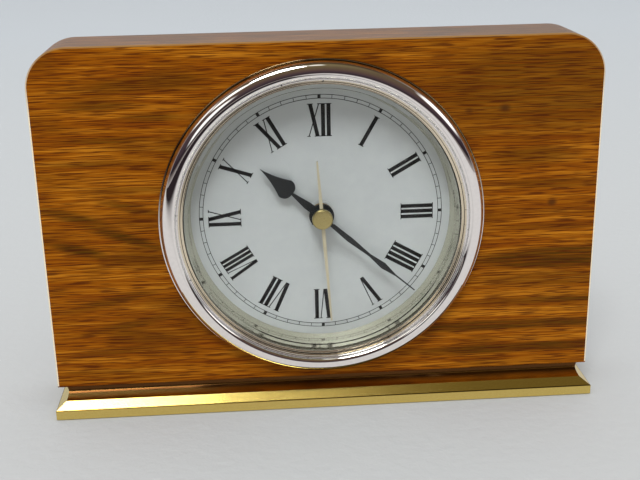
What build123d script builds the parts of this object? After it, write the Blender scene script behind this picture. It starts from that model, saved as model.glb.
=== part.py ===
from build123d import *
import os
from math import cos, hypot, radians, sin

os.makedirs("parts", exist_ok=True)

# The clock stands on its base with +Z up and its dial towards -Y.
# The origin is the centre of the base's footprint, on the surface that it stands on.
# Every depth is measured backwards from the front face of the wooden case.

# Wooden case, with the walls that it keeps round its bore
case_width = 171.0
case_depth = 22.0
case_wall_above = 9.15
case_wall_below = 6.35
case_corner_radius = 12.5
case_edge_round = 0.5

# Metal base
base_margin = 6.5
base_band_height = 2.9
base_bevel_height = 2.0
base_bevel_run = 3.0
base_shoulder_height = 1.5
base_shoulder_sag = 0.3
base_riser_height = 1.5
base_end_sag = 0.35
platform_setback = 0.3
felt_thickness = 1.0
felt_proud = 0.3
felt_margin = 4.0
felt_corner_radius = 3.0

# Screws that hold the case on the base
base_screw_spacing = 110.0
base_screw_head_radius = 3.6
base_screw_head_height = 2.2
base_screw_shank_radius = 1.6
base_screw_reach = 12.0
base_screw_slot_width = 1.0
base_screw_slot_depth = 1.0

# Chrome bezel and domed crystal
bezel_rim_wall = 2.2
bezel_proud = 4.7
bezel_lip_thickness = 0.6
bezel_lip_gap = 0.25
bezel_wall = 0.75
crystal_dome_rise = 1.05
crystal_wall = 1.2
crystal_barrel_height = 0.05
crystal_flange_thickness = 1.2
crystal_flange_width = 1.45
crystal_shoulder_share = 0.7

# Places across the bezel, as shares of its width from the opening, with shares of its height
bezel_rim_shares = (1.0, 0.1)
bezel_bead_shares = (0.93, 0.24)
bezel_bead_foot_shares = (0.85, 0.17)
bezel_crest_shares = (0.446, 1.0)
bezel_groove_shares = (0.27, 0.745)
bezel_step_shares = (0.236, 0.77)
bezel_step_foot_shares = (0.2, 0.7)
bezel_slope_shares = (0.088, 0.5)
bezel_hollow_inner_shares = (0.31, 0.5)
bezel_hollow_outer_shares = (0.65, 0.5)

# Cup that carries the dial, and the rubber band that grips the case
bore_room = 4.5
cup_wall = 0.8
cup_flange_overlap = 1.6
cup_flange_thickness = 1.2
cup_floor_thickness = 2.0
cup_centre_gap = 0.3
band_room = 1.3
band_front = 1.5
band_width = 6.0
band_web = 0.5
band_fin_count = 5
band_fin_share = 0.5

# Dial
dial_thickness = 0.5
collar_width = 1.0
collar_proud = 0.2
reflector_depth = 6.86
reflector_lip = 1.4
reflector_run = 1.7
reflector_wall = 0.7

# Clearances
fit_gap = 0.05
press_gap = 0.02
running_gap = 0.06
seat_gap = 0.1
cut_overrun = 1.0

# Movement housing: the battery's bay lies below the works
works_below = 14.8
coil_top_room = 0.9
bay_end_wall = 1.4
movement_corner_radius = 2.5
plate_thickness = 1.6
cover_wall = 1.2
cover_rear_wall = 1.5
partition_wall = 1.2
pivot_depth = 0.8
boss_wall = 0.45
boss_gap = 0.3
ear_offset = 3.5
ear_radius = 4.0
ear_screw_radius = 1.1
ear_screw_head_radius = 2.2
ear_screw_head_height = 1.3
ear_screw_slot_width = 0.5
ear_screw_slot_depth = 0.5
ear_screw_bite = 1.6

# Centre bushing, the tubes that turn in it, and the hands
second_arbor_radius = 0.5
cannon_wall = 0.94
cannon_collar_width = 0.5
cannon_collar_thickness = 0.3
hour_tube_wall = 0.8
bushing_wall = 1.1
bushing_proud = 1.16
bushing_shoulder_width = 1.4
bushing_shoulder_thickness = 1.0
hour_hand_lift = 1.86
hour_hand_thickness = 0.5
hour_hand_length = 24.5
hour_hub_width = 1.5
minute_hand_gap = 1.05
minute_hand_thickness = 0.35
minute_tip_gap = 2.0
minute_hub_width = 1.4
second_hand_gap = 1.1
second_hand_thickness = 0.3
second_tip_gap = 6.6
second_tail_length = 18.5
second_hub_width = 1.7
cap_height = 1.3
cap_radius = 3.2
cap_edge = 0.35

# Where the hands point, clockwise from twelve
hour_hand_angle = 310.5
minute_hand_angle = 131.0
second_hand_angle = 176.0

# Gear train
wheel_thickness = 0.6
motion_thickness = 0.8
motion_module = 0.3
train_module = 0.2
second_module_share = 1.25
cannon_teeth = 10
motion_wheel_teeth = 30
motion_pinion_teeth = 8
setting_teeth = 10
third_pinion_teeth = 11
third_teeth = 70
second_pinion_teeth = 7
second_teeth = 50
step_pinion_teeth = 10
step_teeth = 60
rotor_pinion_teeth = 10
wheel_window_count = 4
wheel_window_place_share = 0.62
wheel_window_size_share = 0.17

# Tooth form in shares of the module, and tooth widths in shares of the pitch
tooth_head_share = 0.8
tooth_foot_share = 1.1
tooth_root_share = 0.52
tooth_pitch_share = 0.36
tooth_tip_share = 0.18
tooth_sink_share = 0.3

# Gaps between the gears, from the front plate backwards
hour_wheel_gap = 0.74
motion_gap = 0.5
clutch_gap = 0.15
clutch_height = 0.45
wheel_gap = 0.7
step_wheel_gap = 0.6
magnet_gap = 0.8
rotor_boss_gap = 0.8
rotor_end_gap = 0.36

# Arbors, hubs, clutch spring and magnet
motion_stud_radius = 0.5
motion_stud_proud = 0.3
train_arbor_radius = 0.4
rotor_arbor_radius = 0.3
setting_arbor_radius = 0.8
hub_overhang = 0.25
hub_wall = 0.78
clutch_radius = 3.6
clutch_thickness = 0.2
clutch_arm_count = 3
clutch_arm_width = 0.9
clutch_ring_width = 0.7
magnet_radius = 2.4
magnet_thickness = 1.8

# Directions between arbors, in degrees anticlockwise from the right as the dial is seen
third_heading = 135.0
motion_heading = 0.0
step_heading = 60.0
rotor_heading = 20.0

# Step motor
rotor_gap = 0.6
stator_setback = 0.5
stator_thickness = 0.8
stator_lobe_wall = 0.7
stator_side_wall = 2.3
stator_bridge = 2.1
stator_yoke_width = 3.0
stator_wheel_gap = 1.4
stator_pad_width = 4.5
stator_pad_reach = 2.5
post_radius = 1.2
spigot_radius = 0.6
coil_yoke_gap = 1.1
coil_end_gap = 0.5
coil_rear_gap = 0.26
winding_inset = 0.3
bobbin_flange_thickness = 0.8
bobbin_tube_wall = 0.49
core_height = 2.8
core_thickness = 0.8

# Circuit board
board_side_gap = 0.2
board_end_gap = 2.8
board_width = 10.8
board_thickness = 0.8
chip_size = 5.0
chip_thickness = 0.8
chip_draft_angle = 15.0
chip_offset = 8.0
quartz_can_radius = 1.5
quartz_can_length = 8.0
quartz_can_offset = 4.0
lead_radius = 0.2
lead_length = 2.0

# Battery and its contacts
battery_radius = 7.1
battery_length = 50.5
battery_nub_length = 1.0
battery_nub_radius = 2.75
battery_edge_round = 0.8
battery_clearance = 0.3
battery_end_room = 1.35
contact_thickness = 0.3
contact_width = 5.0
contact_gap = 0.2
contact_reach = 5.5

# Setting knob
knob_radius = 5.0
knob_thickness = 2.4
knob_gap = 0.2
knob_groove_count = 20
knob_groove_radius = 0.45



def arbor_place(start, heading, distance):
    """Place of an arbor, at a heading and a distance from another one."""
    x, y = start
    return (x + distance * cos(radians(heading)), y + distance * sin(radians(heading)))


# Gears that share a centre distance, and the places of the arbors from the dial axis
hour_wheel_teeth = cannon_teeth + motion_wheel_teeth - motion_pinion_teeth
centre_teeth = third_teeth + second_pinion_teeth - third_pinion_teeth
second_module = second_module_share * train_module
centre_place = (0, 0)
third_place = arbor_place(
    centre_place, third_heading, train_module * (third_teeth + second_pinion_teeth) / 2
)
motion_place = arbor_place(
    centre_place, motion_heading, motion_module * (cannon_teeth + motion_wheel_teeth) / 2
)
step_place = arbor_place(
    centre_place, step_heading, second_module * (second_teeth + step_pinion_teeth) / 2
)
rotor_place = arbor_place(step_place, rotor_heading, train_module * (step_teeth + rotor_pinion_teeth) / 2)
setting_place = arbor_place(
    motion_place, motion_heading, motion_module * (motion_wheel_teeth + setting_teeth) / 2
)

# Depths of what lies in front of the works, from the bezel backwards
bezel_back = cup_flange_thickness + seat_gap
crystal_crown = bezel_back + crystal_barrel_height + crystal_wall + crystal_dome_rise
crystal_rear = crystal_flange_thickness - bezel_back
dial_depth = crystal_rear + reflector_depth
dial_rear = dial_depth + dial_thickness
cup_rear = dial_rear + cup_floor_thickness
plate_rear = cup_rear + plate_thickness
pivot_front = plate_rear - pivot_depth

# Depths of the front faces of the gears, and of the rear ends of their arbors
hour_wheel_front = plate_rear + hour_wheel_gap
motion_front = hour_wheel_front + motion_thickness + motion_gap
motion_stud_rear = motion_front + motion_thickness + motion_stud_proud
clutch_front = motion_front + motion_thickness + clutch_gap
centre_front = clutch_front + clutch_height
third_front = centre_front + wheel_thickness + wheel_gap
second_front = third_front + wheel_thickness + wheel_gap
step_front = second_front + wheel_thickness + step_wheel_gap
magnet_front = step_front + wheel_thickness + magnet_gap
second_arbor_rear = second_front + wheel_thickness + boss_gap + pivot_depth
third_arbor_rear = second_arbor_rear
step_arbor_rear = step_front + wheel_thickness + hub_overhang + boss_gap + pivot_depth
rotor_arbor_rear = magnet_front + magnet_thickness + rotor_boss_gap + pivot_depth
cover_inside = rotor_arbor_rear + rotor_end_gap
cover_rear = cover_inside + cover_rear_wall

# Step motor: the stator goes round the rotor and clears the third wheel, and the coil lies above it
stator_front = magnet_front + stator_setback
stator_rear = stator_front + stator_thickness
stator_hole_radius = magnet_radius + rotor_gap
stator_lobe_left = rotor_place[0] - stator_hole_radius - stator_side_wall
stator_right = rotor_place[0] + stator_hole_radius + stator_side_wall
stator_left = third_place[0] - train_module * (third_teeth / 2 + tooth_head_share) - stator_wheel_gap
stator_low = rotor_place[1] - stator_hole_radius - stator_lobe_wall
stator_yoke_high = rotor_place[1] + stator_hole_radius + stator_bridge
stator_yoke_low = stator_yoke_high - stator_yoke_width
core_front = stator_front - core_thickness
coil_depth = core_front + core_thickness / 2
bobbin_flange_radius = cover_inside - coil_depth - coil_rear_gap
coil_radius = bobbin_flange_radius - winding_inset
coil_height = stator_yoke_high + coil_yoke_gap + bobbin_flange_radius
coil_left = stator_left + stator_pad_width + coil_end_gap
coil_right = stator_right - stator_pad_width - coil_end_gap
stator_top = coil_height + stator_pad_reach

# Outline of the movement, round the works and the battery's bay
works_high = coil_height + bobbin_flange_radius + coil_top_room
movement_high = works_high + cover_wall
partition_low = -works_below - partition_wall
battery_drop = partition_low - battery_clearance - battery_radius
battery_axis_depth = plate_rear + battery_clearance + battery_radius
movement_low = battery_drop - battery_radius - battery_clearance - cover_wall
bay_half_length = battery_length / 2 + battery_end_room
movement_width = 2 * (bay_half_length + bay_end_wall)
movement_height = movement_high - movement_low
movement_middle = (movement_high + movement_low) / 2
movement_reach = movement_corner_radius + hypot(
    movement_width / 2 - movement_corner_radius, movement_low + movement_corner_radius
)
ear_spacing = movement_width + 2 * ear_offset

# Radii from the case's bore, which clears the corners of the movement
case_bore_radius = movement_reach + bore_room
cup_radius = case_bore_radius - band_room
cup_bore = cup_radius - cup_wall
cup_flange_radius = case_bore_radius + cup_flange_overlap
bezel_rim_inside = cup_flange_radius + 2 * seat_gap
bezel_radius = bezel_rim_inside + bezel_rim_wall
crystal_radius = cup_bore - seat_gap
barrel_radius = crystal_radius - crystal_flange_width
bezel_opening_radius = barrel_radius + bezel_lip_gap
ring_radius = cup_bore - 2 * seat_gap
reflector_front_radius = ring_radius - reflector_lip
reflector_rear_radius = reflector_front_radius - reflector_run

# Radii round the dial axis, from the second arbor outwards
cannon_bore = second_arbor_radius + running_gap
cannon_radius = cannon_bore + cannon_wall
hour_tube_bore = cannon_radius + seat_gap
hour_tube_radius = hour_tube_bore + hour_tube_wall
bushing_bore = hour_tube_radius + seat_gap
bushing_radius = bushing_bore + bushing_wall
bushing_shoulder_radius = bushing_radius + bushing_shoulder_width
cup_centre_radius = bushing_shoulder_radius + cup_centre_gap
dial_hole_radius = bushing_radius + seat_gap
collar_radius = dial_hole_radius + collar_width

# Depths and lengths of the hands
bushing_front = dial_depth - bushing_proud
hour_hand_rear = dial_depth - hour_hand_lift
hour_hand_front = hour_hand_rear - hour_hand_thickness
minute_hand_rear = hour_hand_front - minute_hand_gap
minute_hand_front = minute_hand_rear - minute_hand_thickness
second_hand_rear = minute_hand_front - second_hand_gap
second_hand_front = second_hand_rear - second_hand_thickness
cap_front = second_hand_front - cap_height
minute_hand_length = reflector_rear_radius - minute_tip_gap
second_hand_length = reflector_rear_radius - second_tip_gap

# Heights and sides of the case and its base
base_depth = case_depth + 2 * base_margin
base_height = base_band_height + base_bevel_height + base_shoulder_height + base_riser_height
case_bottom = felt_proud + base_height
case_height = case_wall_below + 2 * case_bore_radius + case_wall_above
case_front = -case_depth / 2
dial_height = case_bottom + case_wall_below + case_bore_radius

section_plane = Plane(origin=(0, case_front, dial_height), x_dir=(1, 0, 0), z_dir=(0, 0, 1))
dial_axis = Axis((0, case_front, dial_height), (0, 1, 0))


def face_plane(depth, angle=0):
    """Plane that faces forwards on the dial axis, at a depth, turned clockwise by an angle."""
    across = (cos(radians(angle)), 0, -sin(radians(angle)))
    return Plane(origin=(0, case_front + depth, dial_height), x_dir=across, z_dir=(0, -1, 0))


def add_disc(front, rear, radius, bore=0, centre=(0, 0), mode=Mode.ADD):
    """Add a disc or ring between two depths, about an axis along the dial's."""
    with BuildSketch(face_plane(rear)) as outline:
        with Locations(centre):
            Circle(radius)
            if bore:
                Circle(bore, mode=Mode.SUBTRACT)
    extrude(outline.sketch, amount=rear - front, mode=mode)


def add_block(front, rear, left, right, low, high, mode=Mode.ADD):
    """Add a block between two depths, with its sides given from the dial axis."""
    with BuildSketch(face_plane(rear)) as outline:
        with Locations(((left + right) / 2, (low + high) / 2)):
            Rectangle(right - left, high - low)
    extrude(outline.sketch, amount=rear - front, mode=mode)


def add_gear(front, thickness, teeth, module, turn, bore=0, centre=(0, 0)):
    """Add a spur gear with straight-sided teeth, thin enough for the train to run freely."""
    pitch = 360 / teeth
    pitch_radius = module * teeth / 2
    root = pitch_radius - tooth_foot_share * module
    tip = pitch_radius + tooth_head_share * module
    sunk = root - tooth_sink_share * module
    half_tooth = [
        (sunk, tooth_root_share),
        (root, tooth_root_share),
        (pitch_radius, tooth_pitch_share),
        (tip, tooth_tip_share),
    ]
    flank = []
    for radius, width_share in half_tooth:
        half_angle = radians(pitch * width_share / 2)
        flank.append((radius * cos(half_angle), radius * sin(half_angle)))
    points = flank + [(x, -y) for x, y in reversed(flank)]
    with BuildSketch(face_plane(front + thickness)) as outline:
        with Locations(centre):
            Circle(root)
            with PolarLocations(0, teeth, start_angle=turn):
                Polygon(*points, align=None)
            if bore:
                Circle(bore, mode=Mode.SUBTRACT)
    extrude(outline.sketch, amount=thickness)


def add_windows(front, pitch_radius):
    """Cut the round windows of a wheel on the dial axis."""
    with BuildSketch(face_plane(front + wheel_thickness)) as outline:
        with PolarLocations(wheel_window_place_share * pitch_radius, wheel_window_count):
            Circle(wheel_window_size_share * pitch_radius)
    extrude(outline.sketch, amount=wheel_thickness, mode=Mode.SUBTRACT)


def meshed_turn(driver_turn, driver_teeth, teeth, heading):
    """Turn of a gear whose gap takes the driver's tooth, seen along a heading."""
    return heading + 180 - (driver_turn - heading) * driver_teeth / teeth - 180 / teeth


# The turn of each gear that puts it in mesh
third_turn = meshed_turn(0, second_pinion_teeth, third_teeth, third_heading)
centre_turn = meshed_turn(0, third_pinion_teeth, centre_teeth, third_heading + 180)
motion_turn = meshed_turn(0, cannon_teeth, motion_wheel_teeth, motion_heading)
hour_turn = meshed_turn(0, motion_pinion_teeth, hour_wheel_teeth, motion_heading + 180)
setting_turn = meshed_turn(motion_turn, motion_wheel_teeth, setting_teeth, motion_heading)
step_turn = meshed_turn(0, second_teeth, step_pinion_teeth, step_heading)
rotor_turn = meshed_turn(0, step_teeth, rotor_pinion_teeth, rotor_heading)

# Wooden case: a board with rounded upper corners, bored through for the clock
base_screw_bottom = felt_thickness
with BuildPart() as wood_case:
    with BuildSketch(Plane(origin=(0, -case_front, case_bottom), x_dir=(1, 0, 0), z_dir=(0, -1, 0))) as board:
        Rectangle(case_width, case_height, align=(Align.CENTER, Align.MIN))
        fillet(board.vertices().group_by(Axis.Y)[-1], radius=case_corner_radius)
    extrude(amount=case_depth)
    fillet(wood_case.faces().filter_by(Axis.Y).edges(), radius=case_edge_round)
    add_disc(-cut_overrun, case_depth + cut_overrun, case_bore_radius, mode=Mode.SUBTRACT)
    with BuildSketch(Plane.XY.offset(case_bottom - cut_overrun)):
        with GridLocations(base_screw_spacing, 0, 2, 1):
            Circle(base_screw_shank_radius + fit_gap)
    extrude(amount=base_screw_reach + seat_gap + cut_overrun, mode=Mode.SUBTRACT)
wood_case.part.label = "wood_case"
export_step(wood_case.part, "parts/wood_case.step")

# Metal base: a bevelled plate that rounds up into the platform under the case
band_top = felt_proud + base_band_height
bevel_top = band_top + base_bevel_height
base_shoulder_top = bevel_top + base_shoulder_height
platform_half_length = case_width / 2 - base_bevel_run
platform_front = case_front + platform_setback
with BuildPart() as brass_base:
    with BuildSketch(Plane.XY.offset(felt_proud)):
        Rectangle(case_width, base_depth)
    extrude(amount=base_band_height)
    with BuildSketch(Plane.XY.offset(band_top)):
        Rectangle(case_width, base_depth)
    with BuildSketch(Plane.XY.offset(bevel_top)):
        Rectangle(case_width - 2 * base_bevel_run, base_depth - 2 * base_bevel_run)
    loft()
    with BuildSketch(Plane.YZ):
        with BuildLine():
            base_shoulder_foot = (-base_depth / 2 + base_bevel_run, bevel_top)
            riser_foot = (platform_front, base_shoulder_top)
            Line((0, bevel_top), base_shoulder_foot)
            SagittaArc(base_shoulder_foot, riser_foot, -base_shoulder_sag)
            Polyline(riser_foot, (platform_front, case_bottom), (0, case_bottom))
            mirror(about=Plane.YZ)
        make_face()
    extrude(amount=platform_half_length, both=True)
    for side in (-1, 1):
        with BuildSketch(Plane.XZ) as end_hollow:
            with BuildLine():
                end_low = (side * platform_half_length, bevel_top)
                end_high = (side * platform_half_length, case_bottom)
                Line(end_low, end_high)
                SagittaArc(end_low, end_high, side * base_end_sag)
            make_face()
        extrude(amount=base_depth, both=True, mode=Mode.SUBTRACT)
    with BuildSketch(Plane.XY):
        RectangleRounded(case_width - 2 * felt_margin, base_depth - 2 * felt_margin, felt_corner_radius)
    extrude(amount=felt_thickness, mode=Mode.SUBTRACT)
    with BuildSketch(Plane.XY):
        with GridLocations(base_screw_spacing, 0, 2, 1):
            Circle(base_screw_shank_radius + fit_gap)
    extrude(amount=case_bottom + cut_overrun, mode=Mode.SUBTRACT)
    for side in (-1, 1):
        screw_x = side * base_screw_spacing / 2
        with BuildSketch(Plane(origin=(screw_x, 0, base_screw_bottom), x_dir=(1, 0, 0), z_dir=(0, -1, 0))):
            Polygon(
                (0, 0),
                (base_screw_head_radius + fit_gap, 0),
                (base_screw_shank_radius + fit_gap, base_screw_head_height),
                (0, base_screw_head_height),
                align=None,
            )
        revolve(axis=Axis((screw_x, 0, 0), (0, 0, 1)), mode=Mode.SUBTRACT)
brass_base.part.label = "brass_base"
export_step(brass_base.part, "parts/brass_base.step")

# Felt pad, glued into the underside of the base
felt_length = case_width - 2 * (felt_margin + seat_gap)
felt_width = base_depth - 2 * (felt_margin + seat_gap)
with BuildPart() as felt_pad:
    with BuildSketch(Plane.XY):
        RectangleRounded(felt_length, felt_width, felt_corner_radius - seat_gap)
    extrude(amount=felt_thickness)
felt_pad.part.label = "felt_pad"
export_step(felt_pad.part, "parts/felt_pad.step")

# Countersunk wood screws, driven up through the base into the case
with BuildPart() as base_screws:
    for side in (-1, 1):
        screw_x = side * base_screw_spacing / 2
        screw_top = case_bottom - base_screw_bottom + base_screw_reach
        with BuildSketch(Plane(origin=(screw_x, 0, base_screw_bottom), x_dir=(1, 0, 0), z_dir=(0, -1, 0))):
            Polygon(
                (0, 0),
                (base_screw_head_radius, 0),
                (base_screw_shank_radius, base_screw_head_height),
                (base_screw_shank_radius, screw_top - 2 * base_screw_shank_radius),
                (0, screw_top),
                align=None,
            )
        revolve(axis=Axis((screw_x, 0, 0), (0, 0, 1)))
    with BuildSketch(Plane.XY.offset(base_screw_bottom)):
        with GridLocations(base_screw_spacing, 0, 2, 1):
            Rectangle(2 * base_screw_head_radius + cut_overrun, base_screw_slot_width)
    extrude(amount=base_screw_slot_depth, mode=Mode.SUBTRACT)
base_screws.part.label = "base_screws"
export_step(base_screws.part, "parts/base_screws.step")


def bezel_point(shares):
    """Point of the bezel's section, from its shares of the bezel's width and height."""
    across, proud = shares
    radius = bezel_opening_radius + across * (bezel_radius - bezel_opening_radius)
    return (radius, -proud * bezel_proud)


# Bezel: a rolled outer bead, a broad round crest, a groove and a slope down to the crystal
with BuildPart() as bezel_ring:
    with BuildSketch(section_plane):
        with BuildLine():
            rim = bezel_point(bezel_rim_shares)
            bead_foot = bezel_point(bezel_bead_foot_shares)
            crest = bezel_point(bezel_crest_shares)
            groove = bezel_point(bezel_groove_shares)
            step_foot = bezel_point(bezel_step_foot_shares)
            lip_front = (bezel_opening_radius, -bezel_back - bezel_lip_thickness)
            hollow_inner = bezel_point(bezel_hollow_inner_shares)
            hollow_outer = bezel_point(bezel_hollow_outer_shares)
            Line((bezel_radius, 0), rim)
            ThreePointArc(rim, bezel_point(bezel_bead_shares), bead_foot)
            TangentArc(crest, bead_foot, tangent=(1, 0))
            TangentArc(crest, groove, tangent=(-1, 0))
            ThreePointArc(groove, bezel_point(bezel_step_shares), step_foot)
            ThreePointArc(step_foot, bezel_point(bezel_slope_shares), lip_front)
            Polyline(
                lip_front,
                (bezel_opening_radius, -bezel_back),
                (hollow_inner[0], -bezel_back),
                hollow_inner,
            )
            ThreePointArc(hollow_inner, (crest[0], crest[1] + bezel_wall), hollow_outer)
            Polyline(
                hollow_outer,
                (hollow_outer[0], -bezel_back),
                (bezel_rim_inside, -bezel_back),
                (bezel_rim_inside, 0),
                (bezel_radius, 0),
            )
        make_face()
    revolve(axis=dial_axis)
bezel_ring.part.label = "bezel_ring"
export_step(bezel_ring.part, "parts/bezel_ring.step")

# Crystal: a domed lens with a rounded shoulder and a flat flange under the bezel's lip
shoulder_radius = barrel_radius - crystal_wall
shoulder_front = crystal_dome_rise - crystal_crown
with BuildPart() as crystal:
    with BuildSketch(section_plane):
        with BuildLine():
            barrel_front = (barrel_radius, shoulder_front + crystal_wall)
            shoulder_mid = (
                shoulder_radius + crystal_shoulder_share * crystal_wall,
                shoulder_front + (1 - crystal_shoulder_share) * crystal_wall,
            )
            inner_edge = barrel_radius - crystal_wall
            inner_foot = (inner_edge, (shoulder_front + crystal_wall + crystal_rear) / 2)
            inner_top = (inner_edge - crystal_wall / 2, shoulder_front + crystal_wall)
            TangentArc((0, -crystal_crown), (shoulder_radius, shoulder_front), tangent=(1, 0))
            ThreePointArc((shoulder_radius, shoulder_front), shoulder_mid, barrel_front)
            Polyline(
                barrel_front,
                (barrel_radius, -bezel_back),
                (crystal_radius, -bezel_back),
                (crystal_radius, crystal_rear),
                (inner_edge, crystal_rear),
                inner_foot,
                inner_top,
            )
            TangentArc((0, crystal_wall - crystal_crown), inner_top, tangent=(1, 0))
            Line((0, crystal_wall - crystal_crown), (0, -crystal_crown))
        make_face()
    revolve(axis=dial_axis)
crystal.part.label = "crystal"
export_step(crystal.part, "parts/crystal.step")

# Reflector: a bright cone between the crystal and the dial
with BuildPart() as reflector_ring:
    with BuildSketch(section_plane):
        Polygon(
            (reflector_front_radius, crystal_rear),
            (ring_radius, crystal_rear),
            (ring_radius, crystal_rear + reflector_wall),
            (reflector_front_radius + reflector_wall, crystal_rear + reflector_wall),
            (reflector_rear_radius + reflector_wall, dial_depth - reflector_wall),
            (ring_radius, dial_depth - reflector_wall),
            (ring_radius, dial_depth),
            (reflector_rear_radius, dial_depth),
            align=None,
        )
    revolve(axis=dial_axis)
reflector_ring.part.label = "reflector_ring"
export_step(reflector_ring.part, "parts/reflector_ring.step")

# Dial plate and the thin collar round its centre hole
with BuildPart() as dial_plate:
    add_disc(dial_depth, dial_rear, ring_radius, bore=dial_hole_radius)
dial_plate.part.label = "dial_plate"
export_step(dial_plate.part, "parts/dial_plate.step")

with BuildPart() as dial_collar:
    add_disc(dial_depth - collar_proud, dial_depth, collar_radius, bore=dial_hole_radius)
dial_collar.part.label = "dial_collar"
export_step(dial_collar.part, "parts/dial_collar.step")

# Cup: its flange lies on the case, its bore takes the dial, and its floor takes the movement
with BuildPart() as dial_cup:
    with BuildSketch(section_plane):
        Polygon(
            (cup_bore, -cup_flange_thickness),
            (cup_flange_radius, -cup_flange_thickness),
            (cup_flange_radius, 0),
            (cup_radius, 0),
            (cup_radius, cup_rear),
            (cup_centre_radius, cup_rear),
            (cup_centre_radius, dial_rear),
            (cup_bore, dial_rear),
            align=None,
        )
    revolve(axis=dial_axis)
    for side in (-1, 1):
        add_disc(
            cup_rear - ear_screw_bite - seat_gap,
            cup_rear + cut_overrun,
            ear_screw_radius + fit_gap,
            centre=(side * ear_spacing / 2, 0),
            mode=Mode.SUBTRACT,
        )
dial_cup.part.label = "dial_cup"
export_step(dial_cup.part, "parts/dial_cup.step")

# Rubber band with fins that grip the case's bore
band_inner = cup_radius + fit_gap
band_outer = case_bore_radius - fit_gap
band_pitch = band_width / band_fin_count
with BuildPart() as friction_band:
    with BuildSketch(section_plane):
        with Locations((band_inner + band_web / 2, band_front + band_width / 2)):
            Rectangle(band_web, band_width)
        for fin in range(band_fin_count):
            fin_front = band_front + fin * band_pitch
            Polygon(
                (band_inner, fin_front),
                (band_outer, fin_front + band_fin_share * band_pitch),
                (band_outer, fin_front + band_pitch),
                (band_inner, fin_front + band_pitch),
                align=None,
            )
    revolve(axis=dial_axis)
friction_band.part.label = "friction_band"
export_step(friction_band.part, "parts/friction_band.step")

# Front plate of the movement, with ears, pivot holes and posts for the stator
post_height = (stator_yoke_low + stator_yoke_high) / 2
post_places = [
    (stator_left + stator_pad_width / 2, post_height),
    (stator_right - post_radius, post_height),
]
with BuildPart() as movement_front_plate:
    with BuildSketch(face_plane(plate_rear)):
        with Locations((0, movement_middle)):
            RectangleRounded(movement_width, movement_height, movement_corner_radius)
        SlotOverall(ear_spacing + 2 * ear_radius, 2 * ear_radius)
        with GridLocations(ear_spacing, 0, 2, 1):
            Circle(ear_screw_radius + fit_gap, mode=Mode.SUBTRACT)
        Circle(bushing_radius + press_gap, mode=Mode.SUBTRACT)
    extrude(amount=plate_thickness)
    for place in post_places:
        add_disc(plate_rear, stator_front, post_radius, centre=place)
        add_disc(stator_front, stator_front + stator_thickness, spigot_radius, centre=place)
    for place, radius in (
        (third_place, train_arbor_radius),
        (step_place, train_arbor_radius),
        (rotor_place, rotor_arbor_radius),
        (setting_place, setting_arbor_radius),
    ):
        add_disc(
            pivot_front - seat_gap, plate_rear, radius + running_gap, centre=place, mode=Mode.SUBTRACT
        )
    add_disc(
        pivot_front - seat_gap,
        plate_rear,
        motion_stud_radius + press_gap,
        centre=motion_place,
        mode=Mode.SUBTRACT,
    )
movement_front_plate.part.label = "movement_front_plate"
export_step(movement_front_plate.part, "parts/movement_front_plate.step")

# Rear cover: an open shell with bearing bosses and a bay for the battery
boss_starts = (
    (third_place, train_arbor_radius, third_arbor_rear),
    (centre_place, second_arbor_radius, second_arbor_rear),
    (step_place, train_arbor_radius, step_arbor_rear),
    (rotor_place, rotor_arbor_radius, rotor_arbor_rear),
)
with BuildPart() as movement_rear_cover:
    with BuildSketch(face_plane(cover_rear)):
        with Locations((0, movement_middle)):
            RectangleRounded(movement_width, movement_height, movement_corner_radius)
    extrude(amount=cover_rear - plate_rear)
    fillet(movement_rear_cover.faces().sort_by(Axis.Y)[-1].edges(), radius=cover_wall / 2)
    add_block(
        plate_rear,
        cover_inside,
        cover_wall - movement_width / 2,
        movement_width / 2 - cover_wall,
        -works_below,
        works_high,
        mode=Mode.SUBTRACT,
    )
    add_block(
        plate_rear,
        cover_rear + cut_overrun,
        -bay_half_length,
        bay_half_length,
        movement_low + cover_wall,
        partition_low,
        mode=Mode.SUBTRACT,
    )
    for place, radius, pivot_rear in boss_starts:
        add_disc(
            pivot_rear - pivot_depth, cover_rear - fit_gap, radius + running_gap + boss_wall, centre=place
        )
        add_disc(
            pivot_rear - pivot_depth,
            pivot_rear + seat_gap,
            radius + running_gap,
            centre=place,
            mode=Mode.SUBTRACT,
        )
    add_disc(
        cover_inside - pivot_depth,
        cover_inside,
        setting_arbor_radius + running_gap + boss_wall,
        centre=setting_place,
    )
    add_disc(
        plate_rear,
        cover_rear + cut_overrun,
        setting_arbor_radius + running_gap,
        centre=setting_place,
        mode=Mode.SUBTRACT,
    )
movement_rear_cover.part.label = "movement_rear_cover"
export_step(movement_rear_cover.part, "parts/movement_rear_cover.step")

# Screws that hold the movement on the cup
with BuildPart() as movement_screws:
    for side in (-1, 1):
        place = (side * ear_spacing / 2, 0)
        add_disc(cup_rear - ear_screw_bite, plate_rear, ear_screw_radius, centre=place)
        add_disc(plate_rear, plate_rear + ear_screw_head_height, ear_screw_head_radius, centre=place)
        add_block(
            plate_rear + ear_screw_head_height - ear_screw_slot_depth,
            plate_rear + ear_screw_head_height,
            place[0] - ear_screw_head_radius,
            place[0] + ear_screw_head_radius,
            -ear_screw_slot_width / 2,
            ear_screw_slot_width / 2,
            mode=Mode.SUBTRACT,
        )
movement_screws.part.label = "movement_screws"
export_step(movement_screws.part, "parts/movement_screws.step")

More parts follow.
